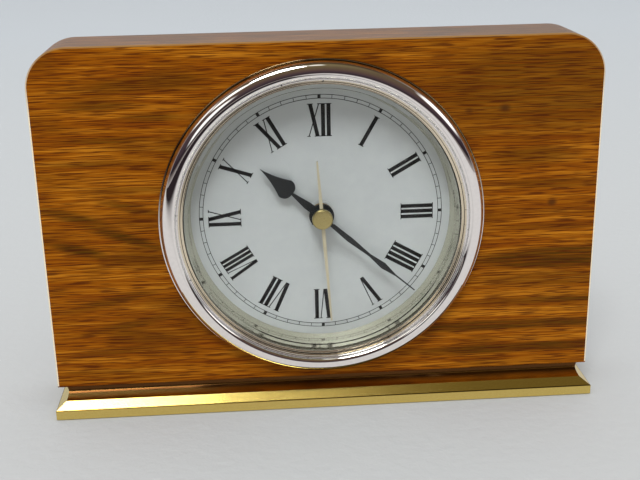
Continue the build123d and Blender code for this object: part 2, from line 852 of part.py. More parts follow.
# Centre bushing: the fixed sleeve that the hour tube turns in
with BuildPart() as centre_bushing:
    with BuildSketch(section_plane):
        Polygon(
            (bushing_bore, bushing_front),
            (bushing_radius, bushing_front),
            (bushing_radius, cup_rear - bushing_shoulder_thickness),
            (bushing_shoulder_radius, cup_rear - bushing_shoulder_thickness),
            (bushing_shoulder_radius, cup_rear),
            (bushing_radius, cup_rear),
            (bushing_radius, plate_rear),
            (bushing_bore, plate_rear),
            align=None,
        )
    revolve(axis=dial_axis)
centre_bushing.part.label = "centre_bushing"
export_step(centre_bushing.part, "parts/centre_bushing.step")

# Hour wheel and its tube, which carries the hour hand
with BuildPart() as hour_wheel:
    add_gear(
        hour_wheel_front, motion_thickness, hour_wheel_teeth, motion_module, hour_turn, bore=hour_tube_bore
    )
    add_disc(hour_hand_front, hour_wheel_front, hour_tube_radius, bore=hour_tube_bore)
hour_wheel.part.label = "hour_wheel"
export_step(hour_wheel.part, "parts/hour_wheel.step")

# Hour hand: a spade, widest across its bulb, on a leaf-shaped stem
hour_bulb_shares = (0.127, 0.6)
hour_neck_shares = (0.016, 0.482)
hour_taper_shares = (0.045, 0.8)
hour_bulb_side_shares = (0.113, 0.53)
hour_leaf_shares = (0.051, 0.235)
with BuildPart() as hour_hand:
    with BuildSketch(face_plane(hour_hand_front + hour_hand_thickness, hour_hand_angle)):
        with BuildLine():
            hour_tip = (0, hour_hand_length)
            hour_bulb = tuple(share * hour_hand_length for share in hour_bulb_shares)
            hour_taper = tuple(share * hour_hand_length for share in hour_taper_shares)
            hour_side = tuple(share * hour_hand_length for share in hour_bulb_side_shares)
            hour_neck = tuple(share * hour_hand_length for share in hour_neck_shares)
            hour_leaf = tuple(share * hour_hand_length for share in hour_leaf_shares)
            ThreePointArc(hour_tip, hour_taper, hour_bulb)
            ThreePointArc(hour_bulb, hour_side, hour_neck)
            Polyline(hour_neck, hour_leaf, (hour_leaf[0], 0), (0, 0))
            mirror(about=Plane.YZ)
        make_face()
        Circle(hour_tube_radius + hour_hub_width)
        Circle(hour_tube_radius + press_gap, mode=Mode.SUBTRACT)
    extrude(amount=hour_hand_thickness)
hour_hand.part.label = "hour_hand"
export_step(hour_hand.part, "parts/hour_hand.step")

# Cannon pinion: the minute hand's tube, its pinion and the collar that keeps the centre wheel
cannon_rear = centre_front + wheel_thickness + seat_gap
with BuildPart() as cannon_pinion:
    add_disc(minute_hand_front, motion_front, cannon_radius, bore=cannon_bore)
    add_gear(motion_front, motion_thickness, cannon_teeth, motion_module, 0, bore=cannon_bore)
    add_disc(motion_front + motion_thickness, cannon_rear, cannon_radius, bore=cannon_bore)
    add_disc(
        cannon_rear,
        cannon_rear + cannon_collar_thickness,
        cannon_radius + cannon_collar_width,
        bore=cannon_bore,
    )
cannon_pinion.part.label = "cannon_pinion"
export_step(cannon_pinion.part, "parts/cannon_pinion.step")

# Minute hand: two slim leaves and a needle point
minute_inner_leaf_shares = (0.023, 0.295)
minute_waist_shares = (0.0105, 0.508)
minute_outer_leaf_shares = (0.027, 0.655)
minute_needle_shares = (0.006, 0.79)
minute_root_shares = (0.016, 0.07)
minute_tip_width_share = 0.004
with BuildPart() as minute_hand:
    with BuildSketch(face_plane(minute_hand_front + minute_hand_thickness, minute_hand_angle)):
        with BuildLine():
            minute_points = []
            for shares in (
                (minute_tip_width_share, 1.0),
                minute_needle_shares,
                minute_outer_leaf_shares,
                minute_waist_shares,
                minute_inner_leaf_shares,
                minute_root_shares,
            ):
                minute_points.append((shares[0] * minute_hand_length, shares[1] * minute_hand_length))
            Polyline((0, minute_hand_length), *minute_points, (minute_points[-1][0], 0), (0, 0))
            mirror(about=Plane.YZ)
        make_face()
        Circle(cannon_radius + minute_hub_width)
        Circle(cannon_radius + press_gap, mode=Mode.SUBTRACT)
    extrude(amount=minute_hand_thickness)
minute_hand.part.label = "minute_hand"
export_step(minute_hand.part, "parts/minute_hand.step")

# Motion wheel and its pinion, one moulding that turns on a stud
with BuildPart() as motion_wheel:
    add_gear(
        motion_front,
        motion_thickness,
        motion_wheel_teeth,
        motion_module,
        motion_turn,
        bore=motion_stud_radius + running_gap,
        centre=motion_place,
    )
    add_gear(
        hour_wheel_front,
        motion_front - hour_wheel_front,
        motion_pinion_teeth,
        motion_module,
        0,
        bore=motion_stud_radius + running_gap,
        centre=motion_place,
    )
motion_wheel.part.label = "motion_wheel"
export_step(motion_wheel.part, "parts/motion_wheel.step")

with BuildPart() as motion_stud:
    add_disc(pivot_front, motion_stud_rear, motion_stud_radius, centre=motion_place)
motion_stud.part.label = "motion_stud"
export_step(motion_stud.part, "parts/motion_stud.step")

# Centre wheel, which drives the cannon through the clutch spring
with BuildPart() as centre_wheel:
    add_gear(
        centre_front,
        wheel_thickness,
        centre_teeth,
        train_module,
        centre_turn,
        bore=cannon_radius + running_gap,
    )
    add_windows(centre_front, centre_teeth * train_module / 2)
centre_wheel.part.label = "centre_wheel"
export_step(centre_wheel.part, "parts/centre_wheel.step")

with BuildPart() as clutch_spring:
    with BuildSketch(face_plane(centre_front)):
        Circle(clutch_radius)
        Circle(clutch_radius - clutch_ring_width, mode=Mode.SUBTRACT)
    extrude(amount=clutch_thickness)
    with BuildSketch(face_plane(clutch_front + clutch_thickness)):
        with PolarLocations(clutch_radius / 2, clutch_arm_count):
            Rectangle(clutch_radius, clutch_arm_width)
        Circle(clutch_radius, mode=Mode.INTERSECT)
        Circle(cannon_radius + running_gap, mode=Mode.SUBTRACT)
    extrude(amount=clutch_thickness)
    with BuildSketch(face_plane(centre_front)):
        with PolarLocations(clutch_radius - clutch_ring_width / 2, clutch_arm_count):
            Rectangle(clutch_ring_width, clutch_arm_width)
    extrude(amount=centre_front - clutch_front)
clutch_spring.part.label = "clutch_spring"
export_step(clutch_spring.part, "parts/clutch_spring.step")

# Second arbor with its pinion, the second wheel, the second hand and its cap
arbor_neck = (third_front - hub_overhang, third_front + wheel_thickness + hub_overhang)
with BuildPart() as second_arbor:
    add_disc(second_hand_front - seat_gap, arbor_neck[0], second_arbor_radius)
    add_gear(arbor_neck[0], arbor_neck[1] - arbor_neck[0], second_pinion_teeth, train_module, 0)
    add_disc(arbor_neck[1], second_arbor_rear, second_arbor_radius)
second_arbor.part.label = "second_arbor"
export_step(second_arbor.part, "parts/second_arbor.step")

with BuildPart() as second_wheel:
    second_bore = second_arbor_radius + press_gap
    add_gear(second_front, wheel_thickness, second_teeth, second_module, 0, bore=second_bore)
    add_disc(second_front - hub_overhang, second_front, second_bore + hub_wall, bore=second_bore)
    add_windows(second_front, second_teeth * second_module / 2)
second_wheel.part.label = "second_wheel"
export_step(second_wheel.part, "parts/second_wheel.step")

second_root_share = 0.018
second_tip_share = 0.008
with BuildPart() as second_hand:
    with BuildSketch(face_plane(second_hand_front + second_hand_thickness, second_hand_angle)):
        with BuildLine():
            Polyline(
                (0, second_hand_length),
                (second_tip_share * second_hand_length, second_hand_length),
                (second_root_share * second_hand_length, 0),
                (second_tip_share * second_hand_length, -second_tail_length),
                (0, -second_tail_length),
            )
            mirror(about=Plane.YZ)
        make_face()
        Circle(second_arbor_radius + second_hub_width)
        Circle(second_arbor_radius + press_gap, mode=Mode.SUBTRACT)
    extrude(amount=second_hand_thickness)
    add_disc(
        second_hand_front + second_hand_thickness,
        minute_hand_front - 2 * seat_gap,
        cannon_radius,
        bore=second_arbor_radius + press_gap,
    )
second_hand.part.label = "second_hand"
export_step(second_hand.part, "parts/second_hand.step")

with BuildPart() as second_cap:
    with BuildSketch(section_plane):
        Polygon(
            (0, cap_front),
            (cap_radius - cap_edge, cap_front),
            (cap_radius, cap_front + cap_edge),
            (cap_radius, second_hand_front),
            (second_arbor_radius + press_gap, second_hand_front),
            (second_arbor_radius + press_gap, second_hand_front - 2 * seat_gap),
            (0, second_hand_front - 2 * seat_gap),
            align=None,
        )
    revolve(axis=dial_axis)
second_cap.part.label = "second_cap"
export_step(second_cap.part, "parts/second_cap.step")

# Third wheel on its pinion arbor
third_hub = (third_front - hub_overhang, third_front + wheel_thickness)
with BuildPart() as third_pinion:
    add_disc(pivot_front, centre_front - hub_overhang, train_arbor_radius, centre=third_place)
    add_gear(
        centre_front - hub_overhang,
        third_hub[0] - centre_front + hub_overhang,
        third_pinion_teeth,
        train_module,
        0,
        centre=third_place,
    )
    add_disc(third_hub[0], third_arbor_rear, train_arbor_radius, centre=third_place)
third_pinion.part.label = "third_pinion"
export_step(third_pinion.part, "parts/third_pinion.step")

with BuildPart() as third_wheel:
    third_bore = train_arbor_radius + press_gap
    add_gear(
        third_front, wheel_thickness, third_teeth, train_module, third_turn, bore=third_bore, centre=third_place
    )
    add_disc(third_hub[0], third_front, third_bore + hub_wall, bore=third_bore, centre=third_place)
third_wheel.part.label = "third_wheel"
export_step(third_wheel.part, "parts/third_wheel.step")

# Step wheel on its pinion arbor, which the rotor turns
with BuildPart() as step_pinion:
    add_disc(pivot_front, second_front - hub_overhang, train_arbor_radius, centre=step_place)
    add_gear(
        second_front - hub_overhang,
        step_front - second_front,
        step_pinion_teeth,
        second_module,
        step_turn,
        centre=step_place,
    )
    add_disc(step_front - hub_overhang, step_arbor_rear, train_arbor_radius, centre=step_place)
step_pinion.part.label = "step_pinion"
export_step(step_pinion.part, "parts/step_pinion.step")

with BuildPart() as step_wheel:
    step_bore = train_arbor_radius + press_gap
    add_gear(step_front, wheel_thickness, step_teeth, train_module, 0, bore=step_bore, centre=step_place)
    add_disc(
        step_front + wheel_thickness,
        step_front + wheel_thickness + hub_overhang,
        step_bore + hub_wall,
        bore=step_bore,
        centre=step_place,
    )
step_wheel.part.label = "step_wheel"
export_step(step_wheel.part, "parts/step_wheel.step")

# Rotor: a magnet and a pinion on one arbor
with BuildPart() as rotor_pinion:
    add_disc(pivot_front, step_front - hub_overhang, rotor_arbor_radius, centre=rotor_place)
    add_gear(
        step_front - hub_overhang,
        magnet_front - step_front + hub_overhang,
        rotor_pinion_teeth,
        train_module,
        rotor_turn,
        centre=rotor_place,
    )
    add_disc(magnet_front, rotor_arbor_rear, rotor_arbor_radius, centre=rotor_place)
rotor_pinion.part.label = "rotor_pinion"
export_step(rotor_pinion.part, "parts/rotor_pinion.step")

with BuildPart() as rotor_magnet:
    add_disc(
        magnet_front,
        magnet_front + magnet_thickness,
        magnet_radius,
        bore=rotor_arbor_radius + press_gap,
        centre=rotor_place,
    )
rotor_magnet.part.label = "rotor_magnet"
export_step(rotor_magnet.part, "parts/rotor_magnet.step")

# Stator plate: two pads that meet the coil's core, joined round the rotor
with BuildPart() as stator_plate:
    add_block(stator_front, stator_rear, stator_left, stator_right, stator_yoke_low, stator_yoke_high)
    add_block(
        stator_front,
        stator_rear,
        stator_left,
        stator_left + stator_pad_width,
        stator_yoke_low,
        stator_top,
    )
    add_block(
        stator_front,
        stator_rear,
        stator_right - stator_pad_width,
        stator_right,
        stator_yoke_low,
        stator_top,
    )
    add_block(stator_front, stator_rear, stator_lobe_left, stator_right, stator_low, stator_yoke_high)
    add_disc(stator_front, stator_rear, stator_hole_radius, centre=rotor_place, mode=Mode.SUBTRACT)
    for place in post_places:
        add_disc(stator_front, stator_rear, spigot_radius + fit_gap, centre=place, mode=Mode.SUBTRACT)
stator_plate.part.label = "stator_plate"
export_step(stator_plate.part, "parts/stator_plate.step")

# Coil: a core between the stator's pads, a bobbin and its winding
bobbin_tube_radius = bobbin_tube_wall + hypot(core_height / 2 + fit_gap, core_thickness / 2 + fit_gap)
coil_axis_plane = Plane(
    origin=(0, case_front + coil_depth, dial_height + coil_height), x_dir=(0, 1, 0), z_dir=(1, 0, 0)
)
with BuildPart() as coil_core:
    add_block(
        core_front,
        stator_front,
        stator_left,
        stator_right,
        coil_height - core_height / 2,
        coil_height + core_height / 2,
    )
coil_core.part.label = "coil_core"
export_step(coil_core.part, "parts/coil_core.step")

with BuildPart() as coil_bobbin:
    with BuildSketch(coil_axis_plane.offset(coil_left)):
        Circle(bobbin_tube_radius)
    extrude(amount=coil_right - coil_left)
    for flange_left in (coil_left, coil_right - bobbin_flange_thickness):
        with BuildSketch(coil_axis_plane.offset(flange_left)):
            Circle(bobbin_flange_radius)
        extrude(amount=bobbin_flange_thickness)
    with BuildSketch(coil_axis_plane.offset(coil_left)):
        Rectangle(core_thickness + 2 * fit_gap, core_height + 2 * fit_gap)
    extrude(amount=coil_right - coil_left, mode=Mode.SUBTRACT)
coil_bobbin.part.label = "coil_bobbin"
export_step(coil_bobbin.part, "parts/coil_bobbin.step")

with BuildPart() as coil_winding:
    with BuildSketch(coil_axis_plane.offset(coil_left + bobbin_flange_thickness + fit_gap)):
        Circle(coil_radius)
        Circle(bobbin_tube_radius + fit_gap, mode=Mode.SUBTRACT)
    extrude(amount=coil_right - coil_left - 2 * (bobbin_flange_thickness + fit_gap))
coil_winding.part.label = "coil_winding"
export_step(coil_winding.part, "parts/coil_winding.step")

# Circuit board with its chip and quartz can
board_front = cover_inside - board_thickness
board_left = cover_wall + board_side_gap - movement_width / 2
board_middle = board_left + board_width / 2
board_low = board_end_gap - works_below
board_high = works_high - board_end_gap
with BuildPart() as circuit_board:
    add_block(board_front, cover_inside, board_left, board_left + board_width, board_low, board_high)
circuit_board.part.label = "circuit_board"
export_step(circuit_board.part, "parts/circuit_board.step")

with BuildPart() as drive_chip:
    with BuildSketch(face_plane(board_front)):
        with Locations((board_middle, board_low + chip_offset)):
            Rectangle(chip_size, chip_size)
    extrude(amount=chip_thickness, taper=chip_draft_angle)
drive_chip.part.label = "drive_chip"
export_step(drive_chip.part, "parts/drive_chip.step")

with BuildPart() as quartz_can:
    can_plane = Plane(
        origin=(
            board_middle,
            case_front + board_front - quartz_can_radius - fit_gap,
            dial_height + board_high - quartz_can_offset - quartz_can_length,
        ),
        x_dir=(1, 0, 0),
        z_dir=(0, 0, 1),
    )
    with BuildSketch(can_plane):
        Circle(quartz_can_radius)
    extrude(amount=quartz_can_length)
    fillet(quartz_can.edges().group_by(Axis.Z)[-1], radius=quartz_can_radius / 4)
    with BuildSketch(can_plane.offset(-lead_length)):
        with GridLocations(quartz_can_radius, 0, 2, 1):
            Circle(lead_radius)
    extrude(amount=lead_length)
quartz_can.part.label = "quartz_can"
export_step(quartz_can.part, "parts/quartz_can.step")

# Battery and the bowed leaf at each end of its bay
battery_plane = Plane(
    origin=(0, case_front + battery_axis_depth, dial_height + battery_drop),
    x_dir=(1, 0, 0),
    z_dir=(0, 0, 1),
)
battery_half = battery_length / 2
battery_shoulder = battery_half - battery_nub_length
with BuildPart() as battery_cell:
    with BuildSketch(battery_plane):
        Polygon(
            (-battery_half, 0),
            (-battery_half, battery_radius - battery_edge_round),
            (-battery_half + battery_edge_round, battery_radius),
            (battery_shoulder - battery_edge_round, battery_radius),
            (battery_shoulder, battery_radius - battery_edge_round),
            (battery_shoulder, battery_nub_radius),
            (battery_half, battery_nub_radius),
            (battery_half, 0),
            align=None,
        )
    revolve(axis=Axis(battery_plane.origin, (1, 0, 0)))
battery_cell.part.label = "battery_cell"
export_step(battery_cell.part, "parts/battery_cell.step")


def add_contact(side):
    """Add a leaf that bows from the bay's end wall towards the battery."""
    wall = side * bay_half_length
    crown = side * (battery_half + contact_gap)
    back = crown + side * contact_thickness
    with BuildSketch(battery_plane.offset(-contact_width / 2)) as leaf:
        with BuildLine():
            ThreePointArc((wall, -contact_reach), (crown, 0), (wall, contact_reach))
            inner_reach = contact_reach - 2 * contact_thickness
            ThreePointArc((wall, -inner_reach), (back, 0), (wall, inner_reach))
            Line((wall, -contact_reach), (wall, -inner_reach))
            Line((wall, contact_reach), (wall, inner_reach))
        make_face()
    extrude(leaf.sketch, amount=contact_width)


with BuildPart() as contact_plus:
    add_contact(1)
contact_plus.part.label = "contact_plus"
export_step(contact_plus.part, "parts/contact_plus.step")

with BuildPart() as contact_minus:
    add_contact(-1)
contact_minus.part.label = "contact_minus"
export_step(contact_minus.part, "parts/contact_minus.step")

# Setting pinion and the knob that turns it from behind
knob_front = cover_rear + knob_gap
knob_rear = knob_front + knob_thickness
with BuildPart() as setting_pinion:
    add_disc(pivot_front, motion_front, setting_arbor_radius, centre=setting_place)
    add_gear(
        motion_front, motion_thickness, setting_teeth, motion_module, setting_turn, centre=setting_place
    )
    add_disc(
        motion_front + motion_thickness,
        knob_rear - knob_thickness / 2,
        setting_arbor_radius,
        centre=setting_place,
    )
setting_pinion.part.label = "setting_pinion"
export_step(setting_pinion.part, "parts/setting_pinion.step")

with BuildPart() as setting_knob:
    with BuildSketch(face_plane(knob_rear)):
        with Locations(setting_place):
            Circle(knob_radius)
            with PolarLocations(knob_radius, knob_groove_count):
                Circle(knob_groove_radius, mode=Mode.SUBTRACT)
    extrude(amount=knob_thickness)
    add_disc(
        knob_front,
        knob_rear - knob_thickness / 2,
        setting_arbor_radius + press_gap,
        centre=setting_place,
        mode=Mode.SUBTRACT,
    )
setting_knob.part.label = "setting_knob"
export_step(setting_knob.part, "parts/setting_knob.step")
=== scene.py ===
"""Looks of the wooden desk clock: finishes, printed dial, studio and camera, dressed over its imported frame."""

import logging
from collections.abc import Mapping
from dataclasses import dataclass
from enum import Enum
from functools import cache
from math import pi, radians
from typing import Any, ClassVar

import bmesh
import bpy
import numpy as np
from bpy.types import Material, Node, NodeSocket, NodeTree, Object
from mathutils import Matrix, Vector


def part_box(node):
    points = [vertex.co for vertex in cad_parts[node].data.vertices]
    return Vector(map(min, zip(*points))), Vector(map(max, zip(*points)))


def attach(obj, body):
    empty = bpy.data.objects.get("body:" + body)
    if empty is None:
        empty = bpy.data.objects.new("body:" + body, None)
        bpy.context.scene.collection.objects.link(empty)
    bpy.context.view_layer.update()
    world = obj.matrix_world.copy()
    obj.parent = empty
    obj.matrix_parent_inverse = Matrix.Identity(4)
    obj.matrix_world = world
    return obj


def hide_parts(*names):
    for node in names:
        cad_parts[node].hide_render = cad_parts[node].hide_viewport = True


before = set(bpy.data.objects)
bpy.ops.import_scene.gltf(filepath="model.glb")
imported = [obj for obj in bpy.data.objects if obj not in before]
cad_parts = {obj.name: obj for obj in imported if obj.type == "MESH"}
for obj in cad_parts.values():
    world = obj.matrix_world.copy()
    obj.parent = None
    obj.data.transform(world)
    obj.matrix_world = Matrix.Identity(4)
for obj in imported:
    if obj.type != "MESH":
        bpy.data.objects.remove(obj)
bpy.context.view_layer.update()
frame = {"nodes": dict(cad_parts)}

log = logging.getLogger("desk_clock")

# Every size below is in millimetres, and this turns it into Blender's metres
MM = 0.001

# A lamp's power for each unit of brightness and area
LAMP_SHARE = 4.0

# Points of a new mesh closer than this, in metres, become one
MERGE_REACH = 1e-7
# Edges that turn further than this stay sharp in a smooth mesh
SHARP_TURN = radians(32)

# Degrees in a whole turn of the dial
FULL_TURN = 360.0

# Sockets of the Mix node when it mixes colours
MIX_A = 6
MIX_B = 7
MIX_RESULT = 2

# What gives a value in a node tree: a socket, or a node by its first output
Source = Node | NodeSocket

Pair = tuple[float, float]
Triple = tuple[float, float, float]
# Corners of a flat shape, and colour stops, each a place from 0 to 1 and a hex code
Outline = list[Pair]
Stops = tuple[tuple[float, str], ...]


class Body(Enum):
    """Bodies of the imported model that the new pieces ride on."""

    CASE = "clock_body"
    SECOND_TRAIN = "second_train"


class Sign(Enum):
    """Letters of the Roman numerals."""

    ONE = "I"
    FIVE = "V"
    TEN = "X"


def linear(code: str) -> tuple[float, float, float, float]:
    """Return an sRGB hex colour, "#RRGGBB", as linear red, green and blue with an alpha of 1."""
    shares = [int(code[start:start + 2], 16) / 255 for start in (1, 3, 5)]
    red, green, blue = (s / 12.92 if s <= 0.04045 else ((s + 0.055) / 1.055) ** 2.4 for s in shares)
    return (red, green, blue, 1.0)


class Graph:
    """Node tree of a material or of the world, emptied and built up one node at a time."""

    def __init__(self, tree: NodeTree) -> None:
        """Take a tree and empty it."""
        tree.nodes.clear()
        self.tree = tree

    def add(self, kind: str, inputs: Mapping[Any, Any] | None = None, **settings: Any) -> Node:
        """Add a node with its settings and what goes into its sockets.

        Args:
            kind: Blender's name for the node.
            inputs: a constant, a socket or a node for each socket, by its name or place.
            **settings: properties of the node itself.

        Returns:
            The new node.
        """
        node = self.tree.nodes.new(kind)
        for name, value in settings.items():
            setattr(node, name, value)
        for key, value in (inputs or {}).items():
            if isinstance(value, Node):
                value = value.outputs[0]
            if isinstance(value, NodeSocket):
                self.tree.links.new(value, node.inputs[key])
            else:
                node.inputs[key].default_value = value
        return node

    def math(self, operation: str, *values: Source | float) -> Node:
        """Return a Math node with its values."""
        return self.add("ShaderNodeMath", dict(enumerate(values)), operation=operation)

    def vector(self, operation: str, *values: Any) -> Node:
        """Return a Vector Math node with its values."""
        return self.add("ShaderNodeVectorMath", dict(enumerate(values)), operation=operation)

    def axes(self, place: Source) -> tuple[NodeSocket, ...]:
        """Return the X, Y and Z of a place."""
        return tuple(self.add("ShaderNodeSeparateXYZ", {0: place}).outputs)

    def millimetres(self) -> Node:
        """Return a node with the object's own coordinates in millimetres."""
        metres = self.add("ShaderNodeTexCoord").outputs["Object"]
        return self.add("ShaderNodeMapping", {"Vector": metres, "Scale": [1 / MM] * 3})

    def bump(self, height: Source, relief: float) -> Node:
        """Return a normal for a height from 0 to 1 that stands for a relief in millimetres."""
        return self.add("ShaderNodeBump", {"Height": height, "Distance": relief * MM})

    def mix(self, share: Source, under: NodeSocket | str, over: NodeSocket | str) -> NodeSocket:
        """Return a colour under a share of another, from 0 to 1: each is a socket or a hex code."""
        low, high = (linear(tone) if isinstance(tone, str) else tone for tone in (under, over))
        return self.add("ShaderNodeMix", {0: share, MIX_A: low, MIX_B: high}, data_type="RGBA").outputs[MIX_RESULT]

    def ramp(self, value: Source, stops: Stops) -> NodeSocket:
        """Return the colour that a value from 0 to 1 has on a ramp with the given stops."""
        node = self.add("ShaderNodeValToRGB", {"Fac": value})
        elements = node.color_ramp.elements
        while len(elements) > 1:
            elements.remove(elements[-1])
        for index, (place, code) in enumerate(stops):
            element = elements[0] if index == 0 else elements.new(place)
            element.position = place
            element.color = linear(code)
        return node.outputs["Color"]


@dataclass(frozen=True)
class Fade:
    """A change from one value at its start to another at its end, level beyond both, steady or eased."""

    start: float
    end: float
    low: float = 0.0
    high: float = 1.0
    eased: bool = False

    def of(self, graph: Graph, value: Source) -> Node:
        """Return a node that puts a value through the fade."""
        return graph.add(
            "ShaderNodeMapRange",
            {"Value": value, "From Min": self.start, "From Max": self.end, "To Min": self.low, "To Max": self.high},
            interpolation_type="SMOOTHSTEP" if self.eased else "LINEAR",
        )


@dataclass(frozen=True)
class Noise:
    """A cloud of noise: the size of its grain along X, Y and Z in millimetres, and its layers of detail."""

    size: Triple
    detail: float = 3.0

    def over(self, graph: Graph, place: Source) -> Node:
        """Return a node with the noise, from 0 to 1, over a place in millimetres."""
        drawn = graph.add("ShaderNodeMapping", {"Vector": place, "Scale": [1 / size for size in self.size]})
        return graph.add("ShaderNodeTexNoise", {"Vector": drawn, "Scale": 1.0, "Detail": self.detail})


@dataclass(frozen=True)
class Spot:
    """A soft-edged ellipsoid: its middle, half sizes, strength there, share that fades, and tilt about Y."""

    middle: Triple
    half: Triple
    strength: float = 1.0
    fade: float = 0.8
    tilt: float = 0.0

    def near(self, graph: Graph, place: Source) -> Node:
        """Return a node with the strength in the spot's middle and 0 outside, for a place in its sizes' unit."""
        moved = graph.vector("SUBTRACT", place, self.middle)
        if self.tilt:
            moved = graph.add(
                "ShaderNodeVectorRotate", {"Vector": moved, "Angle": radians(-self.tilt)}, rotation_type="Y_AXIS"
            )
        shares = graph.vector("MULTIPLY", moved, [1 / size for size in self.half])
        distance = graph.vector("LENGTH", shares).outputs["Value"]
        return Fade(1.0 - self.fade, 1.0, self.strength, 0.0, eased=True).of(graph, distance)


@dataclass(frozen=True)
class Finish:
    """A finish: a named material with the maker's recipe for its shader."""

    name: str

    def shader(self, graph: Graph) -> Node:
        """Return the shader, built up in the material's node tree."""
        raise NotImplementedError

    def build(self) -> Material:
        """Return the finish as a new material."""
        material = bpy.data.materials.new(self.name)
        material.use_nodes = True
        graph = Graph(material.node_tree)
        graph.add("ShaderNodeOutputMaterial", {"Surface": self.shader(graph)})
        return material


@dataclass(frozen=True)
class Surface(Finish):
    """A finish of one colour with a fine grain: cast, moulded, ground, brushed or painted.

    A cloud of noise, as wide as the grain and drawn out along the brushing, mottles the colour,
    swings the roughness and raises the relief.
    """

    colour: str
    mottle: str
    metallic: float = 0.0
    roughness: float = 0.5
    roughness_swing: float = 0.08
    grain: float = 0.5
    relief: float = 0.01
    draw: Triple = (1.0, 1.0, 1.0)

    def tint(self, graph: Graph, place: Node, colour: NodeSocket) -> NodeSocket:
        """Add a finish's own marks to its mottled colour: there are none here.

        Args:
            graph: node tree of the material.
            place: node that gives the place in millimetres.
            colour: socket with the mottled colour.

        Returns:
            Socket with the colour and its marks.
        """
        return colour

    def shader(self, graph: Graph) -> Node:
        """Return the shader, built up in the material's node tree."""
        place = graph.millimetres()
        noise = Noise(tuple(self.grain * share for share in self.draw)).over(graph, place)
        smoothest = max(self.roughness - self.roughness_swing, 0.0)
        rough = Fade(0.0, 1.0, smoothest, self.roughness + self.roughness_swing)
        return graph.add(
            "ShaderNodeBsdfPrincipled",
            {
                "Base Color": self.tint(graph, place, graph.mix(noise, self.colour, self.mottle)),
                "Metallic": self.metallic,
                "Roughness": rough.of(graph, noise),
                "Normal": graph.bump(noise, self.relief),
            },
        )


@dataclass(frozen=True)
class BevelledBrass(Surface):
    """Brass plate, dark along the edge between its bevel and its band, with painted shade and a painted highlight
    line under the case.
    """

    edge_height: float = 3.2
    edge_width: float = 0.3
    edge_colour: str = "#5E4A1E"
    # Painted shade under the case, and the painted highlight line at its foot
    corner: Fade = Fade(5.3, 6.3)
    painted_shade_colour: str = "#56381C"
    foot_height: float = 6.75
    foot_width: float = 0.15
    painted_highlight_colour: str = "#8C6C3A"

    def tint(self, graph: Graph, place: Node, colour: NodeSocket) -> NodeSocket:
        """Return the colour with its dark edge, and with painted shade under the case that ends in a painted
        highlight line.
        """
        *_, height = graph.axes(place)
        line = graph.math("COMPARE", height, self.edge_height, self.edge_width / 2)
        # A thin painted highlight line where the riser meets the ledge under the case
        foot = graph.math("COMPARE", height, self.foot_height, self.foot_width / 2)
        colour = graph.mix(line, colour, self.edge_colour)
        # Painted shade: the riser and ledge under the case are darkened as if in the case's shadow
        colour = graph.mix(self.corner.of(graph, height), colour, self.painted_shade_colour)
        return graph.mix(foot, colour, self.painted_highlight_colour)


@dataclass(frozen=True)
class PittedChrome(Surface):
    """Chromium plate with painted dark reflection lines round its champagne slope, dark pits in its groove and a
    painted dark reflection on its upper rim.

    Distances are measured from the dial's axis, which stands at the given height. The fades say which
    part of the noise shows as pits or as painted reflection lines, and from which height over the axis a painted
    dark reflection covers the rim.
    """

    axis_height: float = 60.544
    groove_radius: float = 44.2
    pit_size: float = 0.8
    pit_detail: float = 1.0
    pit_reach: float = 0.75
    pit_fade: Fade = Fade(0.7, 0.74)
    pit_colour: str = "#2A2622"
    slope_edge: float = 0.4
    slope_colour: str = "#E2DAC6"
    # Painted dark reflection lines on the slope
    line_width: float = 0.42
    painted_line_fade: Fade = Fade(0.5, 0.6, high=0.85)
    painted_reflection_line_colour: str = "#5A4E3C"
    # Painted dark reflection on the upper rim
    rim_radius: float = 49.4
    painted_rim_fade: Fade = Fade(-5.0, 20.0)
    painted_reflection_rim_colour: str = "#94805F"

    def tint(self, graph: Graph, place: Node, colour: NodeSocket) -> NodeSocket:
        """Return the colour with its slope tinted champagne and lined with painted reflection, its groove pitted and
        its upper rim darkened by painted reflection.
        """
        moved = graph.vector("SUBTRACT", place, (0.0, 0.0, self.axis_height))
        flat = graph.vector("MULTIPLY", moved, (1.0, 0.0, 1.0))
        radius = graph.vector("LENGTH", flat).outputs["Value"]
        inside = Fade(self.groove_radius, self.groove_radius - self.slope_edge).of(graph, radius)
        colour = graph.mix(inside, colour, self.slope_colour)
        # Noise of the radius alone gives rings of uneven width, painted as dark reflection lines
        rings = graph.add("ShaderNodeTexNoise", {"W": radius, "Scale": 1 / self.line_width}, noise_dimensions="1D")
        painted_lines = graph.math("MULTIPLY", self.painted_line_fade.of(graph, rings), inside)
        colour = graph.mix(painted_lines, colour, self.painted_reflection_line_colour)
        ring = graph.math("COMPARE", radius, self.groove_radius, self.pit_reach)
        noise = Noise((self.pit_size,) * 3, self.pit_detail).over(graph, place)
        pits = graph.math("MULTIPLY", self.pit_fade.of(graph, noise), ring)
        colour = graph.mix(pits, colour, self.pit_colour)
        # Painted reflection: the outer rim darkens towards the top, where it mirrors the dark wood and room
        rim = graph.math("GREATER_THAN", radius, self.rim_radius)
        *_, height = graph.axes(flat)
        painted_rim_shade = graph.math("MULTIPLY", rim, self.painted_rim_fade.of(graph, height))
        return graph.mix(painted_rim_shade, colour, self.painted_reflection_rim_colour)


@dataclass(frozen=True)
class CellSleeve(Surface):
    """Printed sleeve of a dry cell: dark, with a copper-coloured band at the plus end."""

    band_start: float = 12.0
    band_colour: str = "#B8763A"

    def tint(self, graph: Graph, place: Node, colour: NodeSocket) -> NodeSocket:
        """Return the colour with the band, which starts at its place along the cell."""
        along, *_ = graph.axes(place)
        return graph.mix(graph.math("GREATER_THAN", along, self.band_start), colour, self.band_colour)


# Where smears lie, at the board's front, and half of a depth that takes the whole board in
SMEAR_Y = -11.0
SMEAR_DEEP = 60.0


